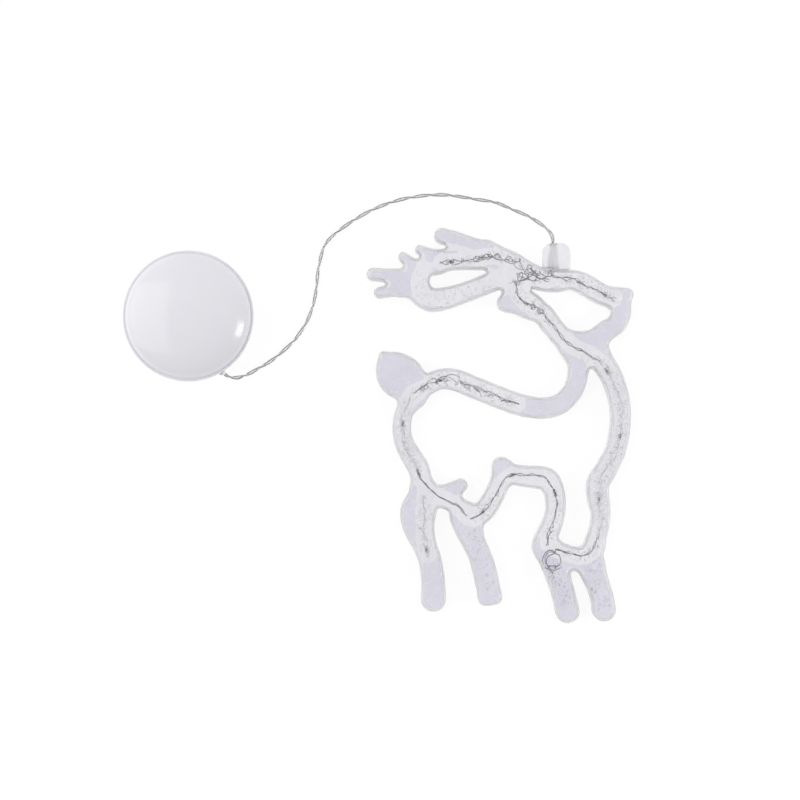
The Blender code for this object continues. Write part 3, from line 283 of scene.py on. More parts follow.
def surface(name, colour, second, patch=8.0, rough=(0.2, 0.3), grain=0.6, depth=0.004,
            sockets=()):
    """Two close colours in soft patches, uneven gloss and a fine moulded grain. patch, grain
    and depth are in millimetres."""
    made = bpy.data.materials.new(name)
    made.use_nodes = True
    nodes, links = made.node_tree.nodes, made.node_tree.links
    shader = nodes["Principled BSDF"]
    place = nodes.new("ShaderNodeTexCoord").outputs["Object"]

    def cloud(size, detail):
        noise = nodes.new("ShaderNodeTexNoise")
        noise.inputs["Scale"].default_value = 1 / (size * MM)
        noise.inputs["Detail"].default_value = detail
        links.new(place, noise.inputs["Vector"])
        return noise.outputs["Fac"]

    patches = nodes.new("ShaderNodeValToRGB")
    for stop, position, shade in zip(patches.color_ramp.elements, (0.35, 0.65),
                                     (colour, second)):
        stop.position = position
        stop.color = (*shade, 1)
    links.new(cloud(patch, 3), patches.inputs["Fac"])
    links.new(patches.outputs["Color"], shader.inputs["Base Color"])
    gloss = nodes.new("ShaderNodeMapRange")
    for socket, value in (("From Min", 0.3), ("From Max", 0.7), ("To Min", rough[0]),
                          ("To Max", rough[1])):
        gloss.inputs[socket].default_value = value
    links.new(cloud(patch * 0.4, 2), gloss.inputs["Value"])
    links.new(gloss.outputs["Result"], shader.inputs["Roughness"])
    bump = nodes.new("ShaderNodeBump")
    bump.inputs["Distance"].default_value = depth * MM
    links.new(cloud(grain, 2), bump.inputs["Height"])
    links.new(bump.outputs["Normal"], shader.inputs["Normal"])
    for socket, value in sockets:
        shader.inputs[socket].default_value = value
    return made


def glass(transmission, ior):
    return [("Transmission Weight", transmission), ("IOR", ior)]


def make_looks():
    """Each look's material name, two colours, patch size, gloss range, grain size and depth,
    and the sockets that make it glass, metal or coated."""
    table = {
        "shell": ("clear_moulding", (0.975, 0.97, 0.985), (0.955, 0.95, 0.97), 14, (0.02, 0.05),
                  2.0, 0.12, glass(0.97, 1.46)),
        "frost": ("frosted_layer", (1.0, 0.995, 1.0), (0.955, 0.95, 0.97), 1.7, (0.16, 0.3), 1.2,
                  0.025, glass(1.0, 1.2)),
        "edge": ("matt_edge", (0.975, 0.97, 0.985), (0.955, 0.95, 0.97), 14, (0.3, 0.4), 1.2, 0.04,
                 glass(0.97, 1.46)),
        "plate": ("milky_plate", (0.98, 0.975, 0.99), (0.95, 0.945, 0.97), 12, (0.18, 0.3), 1.0,
                  0.03, glass(0.94, 1.4)),
        "thick": ("thick_moulding", (0.93, 0.92, 0.985), (0.905, 0.895, 0.965), 16, (0.08, 0.15),
                  1.6, 0.03, glass(0.97, 1.2)),
        "ripple": ("moulded_ripple", (0.98, 0.98, 0.985), (0.95, 0.95, 0.96), 4, (0.05, 0.12), 0.8,
                   0.03, glass(0.97, 1.18)),
        "bubble": ("moulded_bubble", (0.99, 0.99, 0.99), (0.97, 0.97, 0.975), 4, (0.1, 0.2), 0.8,
                   0.03, glass(0.98, 1.2)),
        "gland": ("milky_gland", (0.95, 0.945, 0.965), (0.91, 0.905, 0.93), 3, (0.34, 0.42), 0.9,
                  0.06, glass(0.82, 1.42)),
        "sleeve": ("clear_sleeve", (0.97, 0.97, 0.965), (0.94, 0.94, 0.935), 5, (0.12, 0.2), 0.5,
                   0.01, glass(0.92, 1.5)),
        "vinyl": ("clear_vinyl", (0.93, 0.94, 0.95), (0.9, 0.91, 0.93), 9, (0.06, 0.14), 1.2, 0.02,
                  glass(0.92, 1.52)),
        "cover": ("gloss_white", (0.83, 0.825, 0.855), (0.815, 0.81, 0.845), 24, (0.16, 0.2), 2.5,
                  0.006, [("Coat Weight", 0.15), ("Coat Roughness", 0.1)]),
        # The tub's white is greyer than the cover's: painted shade for the dark lower edge of the
        # tub's side
        "base": ("satin_white", (0.70, 0.70, 0.73), (0.68, 0.68, 0.71), 18, (0.3, 0.4), 0.35,
                 0.006),
        "enamel": ("enamel_wire", (0.30, 0.30, 0.31), (0.18, 0.18, 0.20), 2, (0.25, 0.4), 0.4,
                   0.004, [("Metallic", 0.8)]),
        "tinned": ("tinned_strands", (0.50, 0.49, 0.48), (0.32, 0.32, 0.32), 1.5, (0.3, 0.45),
                   0.25, 0.006, [("Metallic", 0.9)]),
        "resin": ("led_resin", (0.93, 0.93, 0.90), (0.9, 0.9, 0.87), 1.5, (0.05, 0.1), 0.8, 0.01,
                  glass(0.95, 1.36)),
        "phosphor": ("led_phosphor", (0.98, 0.95, 0.80), (0.95, 0.92, 0.76), 0.4, (0.4, 0.5), 0.1,
                     0.004, glass(0.8, 1.35)),
        "chip_body": ("led_chip_body", (0.97, 0.96, 0.94), (0.94, 0.93, 0.91), 0.6, (0.4, 0.5),
                      0.2, 0.004, glass(0.75, 1.35)),
        "pad": ("led_pad", (0.94, 0.94, 0.95), (0.88, 0.88, 0.9), 0.4, (0.3, 0.4), 0.2, 0.004,
                glass(0.7, 1.3)),
        "solder": ("solder", (0.55, 0.55, 0.56), (0.45, 0.45, 0.47), 0.6, (0.22, 0.4), 0.3, 0.01,
                   [("Metallic", 1.0)]),
        "steel": ("spring_steel", (0.60, 0.60, 0.61), (0.5, 0.5, 0.52), 2, (0.2, 0.32), 0.3, 0.003,
                  [("Metallic", 1.0)]),
        "nickel": ("nickel_plate", (0.72, 0.70, 0.67), (0.64, 0.62, 0.6), 3, (0.2, 0.35), 0.25,
                   0.004, [("Metallic", 1.0)]),
        "label": ("cell_sleeve", (0.02, 0.10, 0.06), (0.03, 0.13, 0.08), 6, (0.28, 0.38), 0.5,
                  0.006, [("Coat Weight", 0.5), ("Coat Roughness", 0.15)]),
        "band": ("cell_band", (0.55, 0.55, 0.56), (0.48, 0.48, 0.5), 5, (0.3, 0.4), 0.5, 0.004,
                 [("Metallic", 0.7)]),
        "board": ("board_mask", (0.015, 0.12, 0.045), (0.02, 0.15, 0.06), 3, (0.3, 0.42), 0.5,
                  0.01, [("Coat Weight", 0.3)]),
        "track": ("board_track", (0.03, 0.22, 0.08), (0.04, 0.26, 0.1), 2, (0.3, 0.4), 0.4, 0.004),
        "chip": ("chip_epoxy", (0.02, 0.02, 0.022), (0.03, 0.03, 0.032), 1.5, (0.45, 0.6), 0.12,
                 0.01),
        "ceramic": ("resistor_ceramic", (0.75, 0.74, 0.7), (0.68, 0.67, 0.64), 1, (0.4, 0.5), 0.2,
                    0.006),
        "red": ("red_insulation", (0.45, 0.02, 0.02), (0.38, 0.015, 0.02), 3, (0.35, 0.45), 0.4,
                0.006),
        "black": ("black_insulation", (0.02, 0.02, 0.02), (0.03, 0.03, 0.03), 3, (0.35, 0.45), 0.4,
                  0.006),
        "knob": ("black_knob", (0.025, 0.025, 0.028), (0.035, 0.035, 0.038), 3, (0.4, 0.5), 0.3,
                 0.01),
    }
    return {look: surface(*row) for look, row in table.items()}


# ---- shapes: each is (points in millimetres, faces)

def smooth_route(points, steps):
    """Points on a Catmull-Rom curve through the given ones, steps to a span."""
    rows = [np.array(p, float) for p in points]
    rows = [2 * rows[0] - rows[1]] + rows + [2 * rows[-1] - rows[-2]]
    curve = []
    for a, b, c, d in zip(rows, rows[1:], rows[2:], rows[3:]):
        for t in np.arange(steps) / steps:
            curve.append(0.5 * (2 * b + (c - a) * t + (2 * a - 5 * b + 4 * c - d) * t ** 2
                                + (3 * b - a - 3 * c + d) * t ** 3))
    return np.array(curve + [rows[-2]])


def distances(path):
    return np.concatenate([[0], np.cumsum(np.linalg.norm(np.diff(path, axis=0), axis=1))])


def read_along(path, stops):
    """The path's points at those distances along it."""
    along = distances(path)
    return np.stack([np.interp(stops, along, path[:, k]) for k in range(path.shape[1])], axis=1)


def evenly(path, spacing):
    total = distances(path)[-1]
    return read_along(path, np.linspace(0, total, max(2, round(total / spacing) + 1)))


def directions(path):
    """The way along a path, and two ways across it that don't spin round it."""
    along = np.gradient(path, axis=0)
    along /= np.linalg.norm(along, axis=1)[:, None]
    side = np.cross(along[0], UP if abs(along[0] @ UP) < 0.9 else (1.0, 0.0, 0.0))
    sides = []
    for ahead in along:
        side = side - ahead * (side @ ahead)
        side = side / np.linalg.norm(side)
        sides.append(side)
    sides = np.array(sides)
    return along, sides, np.cross(along, sides)


def tube(path, radius, sides=8):
    """A round closed tube with softened ends."""
    _, across, over = directions(path)
    turn = math.tau * np.arange(sides) / sides
    radii = np.ones(len(path)) * radius
    radii[[0, -1]] *= 0.6
    ring = (across[:, None] * np.cos(turn)[None, :, None]
            + over[:, None] * np.sin(turn)[None, :, None])
    points = (path[:, None] + ring * radii[:, None, None]).reshape(-1, 3)
    faces = [(i * sides + k, i * sides + (k + 1) % sides, (i + 1) * sides + (k + 1) % sides,
              (i + 1) * sides + k) for i in range(len(path) - 1) for k in range(sides)]
    faces.append(tuple(range(sides)))
    faces.append(tuple(range(len(points) - sides, len(points))))
    return points, faces


def twisted(path, offset, pitch, phase):
    """A strand that winds round a path."""
    _, across, over = directions(path)
    turn = phase + math.tau * distances(path) / pitch
    return path + offset * (across * np.cos(turn)[:, None] + over * np.sin(turn)[:, None])


def turned(profile, segments):
    """A closed profile of (radius, z) turned about the Z axis. Radius 0 is a pole."""
    points, rows = [], []
    for radius, z in profile:
        count = segments if radius > 1e-6 else 1
        rows.append(range(len(points), len(points) + count))
        turn = math.tau * np.arange(count) / segments
        points += [(radius * math.cos(s), radius * math.sin(s), z) for s in turn]
    faces = []
    for row, following in zip(rows, rows[1:] + rows[:1]):
        if len(row) == 1 and len(following) == 1:
            continue
        for k in range(segments):
            corners = (row[k % len(row)], row[(k + 1) % len(row)],
                       following[(k + 1) % len(following)], following[k % len(following)])
            faces.append(tuple(dict.fromkeys(corners)))
    return np.array(points, float), faces


def filleted(corners, steps=4):
    """A profile whose corners (radius, z, fillet) are rounded."""
    places = [np.array(c[:2], float) for c in corners]
    made = []
    for k, corner in enumerate(corners):
        here, before, after = places[k], places[k - 1], places[(k + 1) % len(places)]
        if corner[2] <= 0:
            made.append(tuple(here))
            continue
        first = here + (before - here) * corner[2] / np.linalg.norm(before - here)
        last = here + (after - here) * corner[2] / np.linalg.norm(after - here)
        for t in np.linspace(0, 1, steps + 1):
            made.append(tuple(first * (1 - t) ** 2 + here * 2 * t * (1 - t) + last * t ** 2))
    return made


def soft_box(low, high, edge, steps=2):
    """A block with rounded edges."""
    shape = bmesh.new()
    bmesh.ops.create_cube(shape, size=1)
    size = np.array(high, float) - np.array(low, float)
    middle = (np.array(high, float) + np.array(low, float)) / 2
    for vertex in shape.verts:
        vertex.co = Vector(middle + np.array(vertex.co) * size)
    bmesh.ops.bevel(shape, geom=list(shape.edges), offset=edge, segments=steps, profile=0.5,
                    affect="EDGES", clamp_overlap=True)
    shape.verts.index_update()
    points = np.array([tuple(v.co) for v in shape.verts])
    faces = [tuple(v.index for v in f.verts) for f in shape.faces]
    shape.free()
    return points, faces


def merged(*shapes):
    """Several shapes as one, and which shape each face came from."""
    points, faces, source = [], [], []
    for number, (own_points, own_faces) in enumerate(shapes):
        start = sum(len(p) for p in points)
        points.append(np.array(own_points, float))
        faces += [tuple(start + k for k in face) for face in own_faces]
        source += [number] * len(own_faces)
    return (np.concatenate(points), faces), source


def aimed(shape, start, way):
    """A shape made along +Z, moved so that its origin is at start and +Z points along way."""
    turn = np.array(Vector((0, 0, 1)).rotation_difference(Vector(way)).to_matrix())
    return shape[0] @ turn.T + np.array(start, float), shape[1]


def moved(shape, by):
    return shape[0] + np.array(by, float), shape[1]


def spun(shape, angle):
    """A shape turned about the Z axis."""
    c, s = math.cos(angle), math.sin(angle)
    return shape[0] @ np.array(((c, -s, 0), (s, c, 0), (0, 0, 1))).T, shape[1]


def in_box(shape):
    """A shape made in the battery box's own frame, put where the box is."""
    return moved(spun(shape, BOX_TURN), BOX_CENTRE)


def block(foot, size, edge, steps=2):
    """A rounded block of a size, by the middle of its underside."""
    foot, half = np.array(foot, float), np.array((size[0] / 2, size[1] / 2, 0))
    return soft_box(foot - half, foot + half + (0, 0, size[2]), edge, steps)


def mesh_of(name, shape, crease=35):
    points, faces = shape
    data = bpy.data.meshes.new(name)
    data.from_pydata((np.array(points) * MM).tolist(), [], faces)
    whole = bmesh.new()
    whole.from_mesh(data)
    bmesh.ops.recalc_face_normals(whole, faces=whole.faces)
    whole.to_mesh(data)
    whole.free()
    data.shade_smooth()
    data.set_sharp_from_angle(angle=math.radians(crease))
    made = bpy.data.objects.new(name, data)
    bpy.context.scene.collection.objects.link(made)
    return made


def piece(name, shape, looks, body="base", stands_for=(), source=None, crease=35):
    """A piece of the object. source says which look each face takes."""
    made = mesh_of(name, shape, crease)
    for look in looks:
        made.data.materials.append(LOOKS[look])
    if source is not None:
        made.data.polygons.foreach_set("material_index", source)
    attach(made, body)
    if stands_for:
        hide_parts(*stands_for)
    return made


def assembled(name, parts, node, body="base", crease=35, place=in_box):
    """A piece merged from closed (look, shape) parts, which stands for one node."""
    shape, source = merged(*[own for _, own in parts])
    looks = list(dict.fromkeys(look for look, _ in parts))
    return piece(name, place(shape), looks, body, [node],
                 [looks.index(parts[k][0]) for k in source], crease)


def carve(target, shape, operation="DIFFERENCE"):
    """Cuts a shape out of a piece, or joins it on."""
    tool = mesh_of(target.name + "_tool", shape)
    tool.hide_render = True
    tool.display_type = "WIRE"
    step = target.modifiers.new(operation.lower(), "BOOLEAN")
    step.operation = operation
    step.solver = "EXACT"
    step.object = tool


# ---- the reindeer's outline, from the limbs' distance field

def span_distance(x, y, a, b):
    """Distance to a round-ended span whose half width runs from a's to b's."""
    dx, dy = b[0] - a[0], b[1] - a[1]
    t = np.clip(((x - a[0]) * dx + (y - a[1]) * dy) / max(dx * dx + dy * dy, 1e-9), 0, 1)
    return np.hypot(x - a[0] - t * dx, y - a[1] - t * dy) - (a[2] + t * (b[2] - a[2]))


def blended_distance(x, y, limbs, steps):
    """Distance to round-ended limbs that flow into each other: negative inside."""
    field = np.full(np.shape(x), 1e3)
    for limb in limbs:
        spans = smooth_route(limb, steps)
        own = np.full(np.shape(x), 1e3)
        for a, b in zip(spans, spans[1:]):
            own = np.minimum(own, span_distance(x, y, a, b))
        near = np.clip(BLEND - np.abs(field - own), 0, None) / BLEND
        field = np.minimum(field, own) - near ** 2 * BLEND / 4
    return field


def overlap(a, b, blend):
    """Where both fields are inside, with a soft corner."""
    near = np.clip(blend - np.abs(a - b), 0, None) / blend
    return np.maximum(a, b) + near ** 2 * blend / 4


def frame_distance(x, y):
    return blended_distance(x, y, LIMBS.values(), 5)


def thick_distance(x, y):
    """Distance to what lies inside the frame's walls and away from the wires."""
    channels = [[(a, b, CHANNEL_HALF) for a, b in flat] for _, flat in WIRES.values()]
    channels.append([(a, b, THIN_PALM_HALF) for a, b in THIN_PALM])
    return overlap(frame_distance(x, y) + THICK_INSET, -blended_distance(x, y, channels, 3), 1.0)


def gland_distance(x, y):
    """A rounded sleeve whose foot follows the top of the head."""
    inner_x = np.abs(x - GLAND_CENTRE_X) - (GLAND_WIDTH / 2 - GLAND_ROUND)
    inner_y = np.abs(y - GLAND_MIDDLE_Y) - (GLAND_TOP_Y - GLAND_MIDDLE_Y - GLAND_ROUND)
    rounded = (np.hypot(np.clip(inner_x, 0, None), np.clip(inner_y, 0, None))
               + np.minimum(np.maximum(inner_x, inner_y), 0) - GLAND_ROUND)
    sleeve = overlap(rounded, GAP - frame_distance(x, y), 1.2)
    return overlap(sleeve, GLAND_FOOT_Y - y, 1.2)


# For each pattern of corners inside, the cell edges the outline runs from and to
CROSSINGS = {1: [(0, 3)], 2: [(1, 0)], 3: [(1, 3)], 4: [(2, 1)], 5: [(0, 3), (2, 1)],
             6: [(2, 0)], 7: [(2, 3)], 8: [(3, 2)], 9: [(0, 2)], 10: [(1, 0), (3, 2)],
             11: [(1, 2)], 12: [(3, 1)], 13: [(0, 1)], 14: [(3, 0)]}


def crossing_point(x, y, field, edge):
    i, j, upright = edge
    k, m = (i, j + 1) if upright else (i + 1, j)
    t = field[i, j] / (field[i, j] - field[k, m])
    return (x[i, j] + t * (x[k, m] - x[i, j]), y[i, j] + t * (y[k, m] - y[i, j]))


def traced(distance, box, grid):
    """Closed loops round what is inside, anticlockwise."""
    x, y = np.meshgrid(np.arange(box[0], box[2], grid), np.arange(box[1], box[3], grid),
                       indexing="ij")
    field = distance(x, y)
    inside = field < 0
    pattern = (inside[:-1, :-1] * 1 + inside[1:, :-1] * 2 + inside[1:, 1:] * 4
               + inside[:-1, 1:] * 8)
    following = {}
    for i, j in np.argwhere((pattern > 0) & (pattern < 15)):
        edges = [(i, j, 0), (i + 1, j, 1), (i, j + 1, 0), (i, j, 1)]
        for start, end in CROSSINGS[int(pattern[i, j])]:
            following[edges[start]] = edges[end]
    loops = []
    while following:
        edge = next(iter(following))
        loop = []
        while edge in following:
            loop.append(crossing_point(x, y, field, edge))
            edge = following.pop(edge)
        loops.append(np.array(loop))
    return loops


def outward(distance, points):
    """Unit ways out of a field at some points."""
    step = 0.05
    across = (distance(points[:, 0] + step, points[:, 1])
              - distance(points[:, 0] - step, points[:, 1]))
    upward = (distance(points[:, 0], points[:, 1] + step)
              - distance(points[:, 0], points[:, 1] - step))
    way = np.stack([across, upward], axis=1)
    return way / np.linalg.norm(way, axis=1)[:, None]


def even_outline(distance, box, grid, spacing, smallest=SMALLEST_OUTLINE):
    """Each loop's points, evenly spaced and exactly on the outline, and their ways inward."""
    loops, inward = [], []
    for loop in traced(distance, box, grid):
        closed = np.concatenate([loop, loop[:1]])
        total = distances(closed)[-1]
        if total < smallest:
            continue
        even = read_along(closed, np.arange(round(total / spacing)) * total
                          / round(total / spacing))
        for _ in range(2):
            even = even - outward(distance, even) * distance(even[:, 0], even[:, 1])[:, None]
            even = (even + (np.roll(even, 1, axis=0) + np.roll(even, -1, axis=0)) / 2) / 2
        even = even - outward(distance, even) * distance(even[:, 0], even[:, 1])[:, None]
        loops.append(even)
        inward.append(-outward(distance, even))
    return loops, inward


def loop_area(loop):
    x, y = loop[:, 0], loop[:, 1]
    return float(np.sum(x * np.roll(y, -1) - np.roll(x, -1) * y)) / 2


def holds(loop, place):
    """Whether a place is inside a loop."""
    x, y = loop[:, 0], loop[:, 1]
    x2, y2 = np.roll(x, -1), np.roll(y, -1)
    crossed = (y > place[1]) != (y2 > place[1])
    at = x + (place[1] - y) / np.where(y2 == y, 1e-9, y2 - y) * (x2 - x)
    return int(np.sum(crossed & (at > place[0]))) % 2 == 1


def families(loops):
    """Each outer loop's number with the numbers of the holes in it."""
    outer = [k for k, loop in enumerate(loops) if loop_area(loop) > 0]
    holes = [k for k, loop in enumerate(loops) if loop_area(loop) <= 0]
    return [[k] + [h for h in holes if holds(loops[k], loops[h][0])] for k in outer]


def over_outline(loops, inward, steps):
    """A closed surface over an outline: (inset, z) at each step, filled at both ends. With it
    comes the step that each face belongs to."""
    points, rows = [], []
    for inset, z in steps:
        row = []
        for loop, toward in zip(loops, inward):
            row.append(sum(len(p) for p in points))
            flat = loop + toward * inset
            points.append(np.concatenate([flat, np.full((len(flat), 1), z)], axis=1))
        rows.append(row)
    points = np.concatenate(points)
    faces, source = [], []
    for step, (low, high) in enumerate(zip(rows, rows[1:])):
        for a, b, loop in zip(low, high, loops):
            count = len(loop)
            faces += [(a + k, a + (k + 1) % count, b + (k + 1) % count, b + k)
                      for k in range(count)]
            source += [step] * count
    for row in (rows[0], rows[-1]):
        for family in families(loops):
            numbers = [row[which] + k for which in family for k in range(len(loops[which]))]
            flat = [[Vector((*points[row[which] + k][:2], 0))
                     for k in range(len(loops[which]))] for which in family]
            tris = [tuple(numbers[k] for k in tri) for tri in tessellate_polygon(flat)]
            faces += tris
            source += [-1] * len(tris)
    return (points, faces), source


def layer(name, outline, steps, look, stands_for=(), crease=50):
    """A piece in one look over an outline."""
    shape, _ = over_outline(*outline, steps)
    return piece(name, shape, [look], stands_for=stands_for, crease=crease)


def shoulder(inset, z, radius, steps=6, downward=False):
    """(inset, z) round a quarter circle that ends at inset on top, at height z."""
    turns = np.linspace(0, math.pi / 2, steps + 1)
    arc = [(inset - radius * math.sin(s), z - radius * (1 - math.cos(s))) for s in turns]
    return arc if downward else arc[::-1]


# ---- the camera and the lead come first

def make_camera():
    data = bpy.data.cameras.new("camera")
    data.lens = LENS
    data.sensor_width = SENSOR
    made = bpy.data.objects.new("camera", data)
    middle = (cad_low + cad_high) / 2
    made.location = (middle.x + VIEW_OFFSET[0] * MM, middle.y + VIEW_OFFSET[1] * MM,
                     (VIEW_LEVEL + VIEW_WIDTH * LENS / SENSOR) * MM)
    bpy.context.scene.collection.objects.link(made)
    bpy.context.scene.camera = made


def make_lead():
    """Two clear strands with tinned conductors, twisted by hand."""
    route = smooth_route(LEAD_ROUTE, 24)
    path = evenly(route, 0.7)
    wander = 1 + 0.12 * np.sin(distances(path) / 17)
    strands, cores = [], []
    for phase in (0.4, 0.4 + math.pi):
        strand = twisted(path, STRAND_OFFSET, LEAD_PITCH, phase)
        strand = path + (strand - path) * np.clip(wander, 0.9, 1.0)[:, None]
        strand[:, 2] = np.maximum(strand[:, 2], STRAND_RADIUS + 0.05)
        strands.append(tube(strand, STRAND_RADIUS, 12))
        cores.append(tube(strand, CONDUCTOR_RADIUS, 8))
    shape, _ = merged(*strands)
    lead = piece("lead_pair", shape, ["sleeve"], stands_for=["lead"])
    shape, _ = merged(*cores)
    conductors = piece("lead_conductors", shape, ["tinned"])
    return lead, conductors, path


def make_grommet():
    """A strain relief with a soft nose, a collar outside the wall and one inside it."""
    profile = filleted([(0, 0, 0), (1.25, 0, 0.25), (1.6, 0.7, 0.2), (1.88, 0.9, 0.1),
                        (1.88, 1.5, 0.1), (1.6, 1.6, 0.05), (1.6, 4.6, 0.05), (1.88, 4.7, 0.1),
                        (1.88, 5.4, 0.1), (1.3, GROMMET_LENGTH, 0.15),
                        (0, GROMMET_LENGTH, 0)])
    rod = aimed(turned(profile, 32), GROMMET_OUTER, GROMMET_WAY)
    return assembled("grommet", [("vinyl", rod)], "lead_grommet")


# ---- the reindeer

def inner_outline(distance):
    return even_outline(distance, FIELD_BOX, INNER_GRID, OUTLINE_SPACING, SMALLEST_INNER)


def make_frame():
    """The shell with its entry, the back plate, and the core where the moulding is thicker."""
    outline = even_outline(frame_distance, FIELD_BOX, GRID, OUTLINE_SPACING)
    steps = ([(1.8, FRAME_DEPTH)] + shoulder(1.5, FRAME_DEPTH, 1.5, downward=True)
             + [(0, 0.3), (0.09, 0.09), (0.3, 0), (WALL - 0.15, 0), (WALL, 0.15)]
             + shoulder(WALL + 0.5, ROOF, 0.5, steps=4) + [(WALL + 0.7, ROOF)])
    shape, source = over_outline(*outline, steps)
    shell = piece("frame_shell", shape, ["shell", "edge"],
                  stands_for=["frame_front_shell"], crease=50,
                  source=[0 if step in (-1, 0, len(steps) - 2) else 1 for step in source])
    entry = turned([(0, 0), (ENTRY_RADIUS, 0), (ENTRY_RADIUS, 6.5), (0, 6.5)], 32)
    carve(shell, aimed(entry, (ENTRY_X, 75.5, ENTRY_Z), (0, 1, 0)))
    plate = [(PLATE_INSET + 0.35, WALL), (PLATE_INSET + 0.15, WALL), (PLATE_INSET, WALL - 0.15),
             (PLATE_INSET, 0.2), (PLATE_INSET + 0.06, 0.06), (PLATE_INSET + 0.2, 0),
             (PLATE_INSET + 0.35, 0)]
    layer("frame_back", outline, plate, "plate", ["frame_back_cover"])
    thick = ([(0.35, THICK_LOW), (0.2, THICK_LOW), (0.05, THICK_LOW + 0.1), (0, THICK_LOW + 0.3)]
             + shoulder(0.3, THICK_HIGH, 0.3, 3) + [(0.4, THICK_HIGH)])
    layer("frame_thick", inner_outline(thick_distance), thick, "thick")


def frost_distance(x, y):
    """Distance to the frosted layer over the fainter stretches of wire."""
    stretches = []
    for name, start, end in FROSTED:
        path = wire_route(name)
        stops = np.linspace(start, min(end, distances(path)[-1]), 16)
        stretches.append([(a, b, CHANNEL_HALF) for a, b, _ in read_along(path, stops)])
    return overlap(frame_distance(x, y) + FROST_INSET, blended_distance(x, y, stretches, 3), 1.0)


def make_frost():
    sheet = [(0.2, FROST_LOW), (0.05, FROST_LOW + 0.05), (0, FROST_LOW + 0.15),
             (0.05, FROST_HIGH - 0.05), (0.2, FROST_HIGH)]
    layer("frame_frost", inner_outline(frost_distance), sheet, "frost")


def make_ripples():
    """Bowed ripples and bubbles under the roof, and bubbles under the thicker core."""
    random = np.random.default_rng(7)
    ripples, bubbles = [], []
    for name, stretches in RIPPLES.items():
        flat = MOTTLED[name] if name in MOTTLED else WIRES[name][1]
        roof = THICK_LOW if name in MOTTLED else ROOF
        route = smooth_route([(x, y, 0) for x, y in flat], 12)
        total = distances(route)[-1]
        for start, length, spacing, share in stretches:
            for stop in np.arange(start, min(start + length, total - 1), spacing):
                place, ahead = read_along(route, stop + random.uniform(-0.5, 0.5)
                                          + np.array([0, 0.5]))
                way = (ahead - place) / max(np.linalg.norm(ahead - place), 1e-6)
                side = np.cross(UP, way)
                room = -float(frame_distance(place[0], place[1])) - WALL - MARK_CLEARANCE
                if room < MARK_LEAST_ROOM:
                    continue
                if random.random() < share:
                    ripples.append(ripple(random, place, way, side, room))
                    continue
                for _ in range(random.integers(4, 8)):
                    spot = (place + side * random.uniform(-1, 1) * room
                            + way * random.uniform(-1.2, 1.2))
                    size = 0.22 + 0.4 * random.random() ** 2
                    spot[2] = roof - size * BUBBLE_FLATTENING - ROOF_GAP
                    bubbles.append(moved(bubble(size), spot))
    shape, _ = merged(*ripples)
    piece("frame_ripples", shape, ["ripple"])
    shape, _ = merged(*bubbles)
    piece("frame_bubbles", shape, ["bubble"])


def ripple(random, place, way, side, room):
    """One bowed ridge across the channel."""
    u = np.linspace(-1, 1, 9)
    arc = (place + side * (u[:, None] * room * random.uniform(0.7, 0.95))
           + way * (random.uniform(0.5, 1.3) * (1 - u ** 2))[:, None])
    radius = random.uniform(0.3, 0.42)
    arc[:, 2] = ROOF - radius - ROOF_GAP
    return tube(arc, radius, 8)


def bubble(size):
    """A small flattened ball."""
    turns = np.linspace(-math.pi / 2, math.pi / 2, 7)
    return turned([(size * math.cos(a) if abs(a) < ALMOST_QUARTER else 0,
                    BUBBLE_FLATTENING * size * math.sin(a)) for a in turns], 10)


def make_gland():
    outline = even_outline(gland_distance, GLAND_BOX, 0.5, 0.45)
    steps = ([(1.0, GLAND_LOW), (0.8, GLAND_LOW), (0.35, GLAND_LOW + 0.12),
              (0.08, GLAND_LOW + 0.4), (0, GLAND_LOW + 0.8)]
             + shoulder(0.8, GLAND_HIGH, 0.8, 5) + [(1.0, GLAND_HIGH)])
    gland = layer("gland", outline, steps, "gland", ["cord_gland"], 40)
    bore = [(0, 70), (3.0, 70), (3.0, 83.5), (2.4, 84.0), (2.4, 87.5), (1.7, 88.2), (1.7, 95),
            (0, 95)]
    carve(gland, aimed(turned(bore, 40), (ENTRY_X, 0, ENTRY_Z), (0, 1, 0)))


def wire_route(name):
    """The middle of a run's two wires."""
    height, flat = WIRES[name]
    route = [(x, y, height) for x, y in flat]
    if name == "chest":
        turns = COIL_START + np.linspace(0, COIL_TURNS * math.tau, 18)
        route += [(COIL_CENTRE[0] + COIL_RADIUS * math.cos(s),
                   COIL_CENTRE[1] + COIL_RADIUS * math.sin(s),
                   height + COIL_RISE * (s - COIL_START) / math.tau) for s in turns]
    return smooth_route(route, 12)


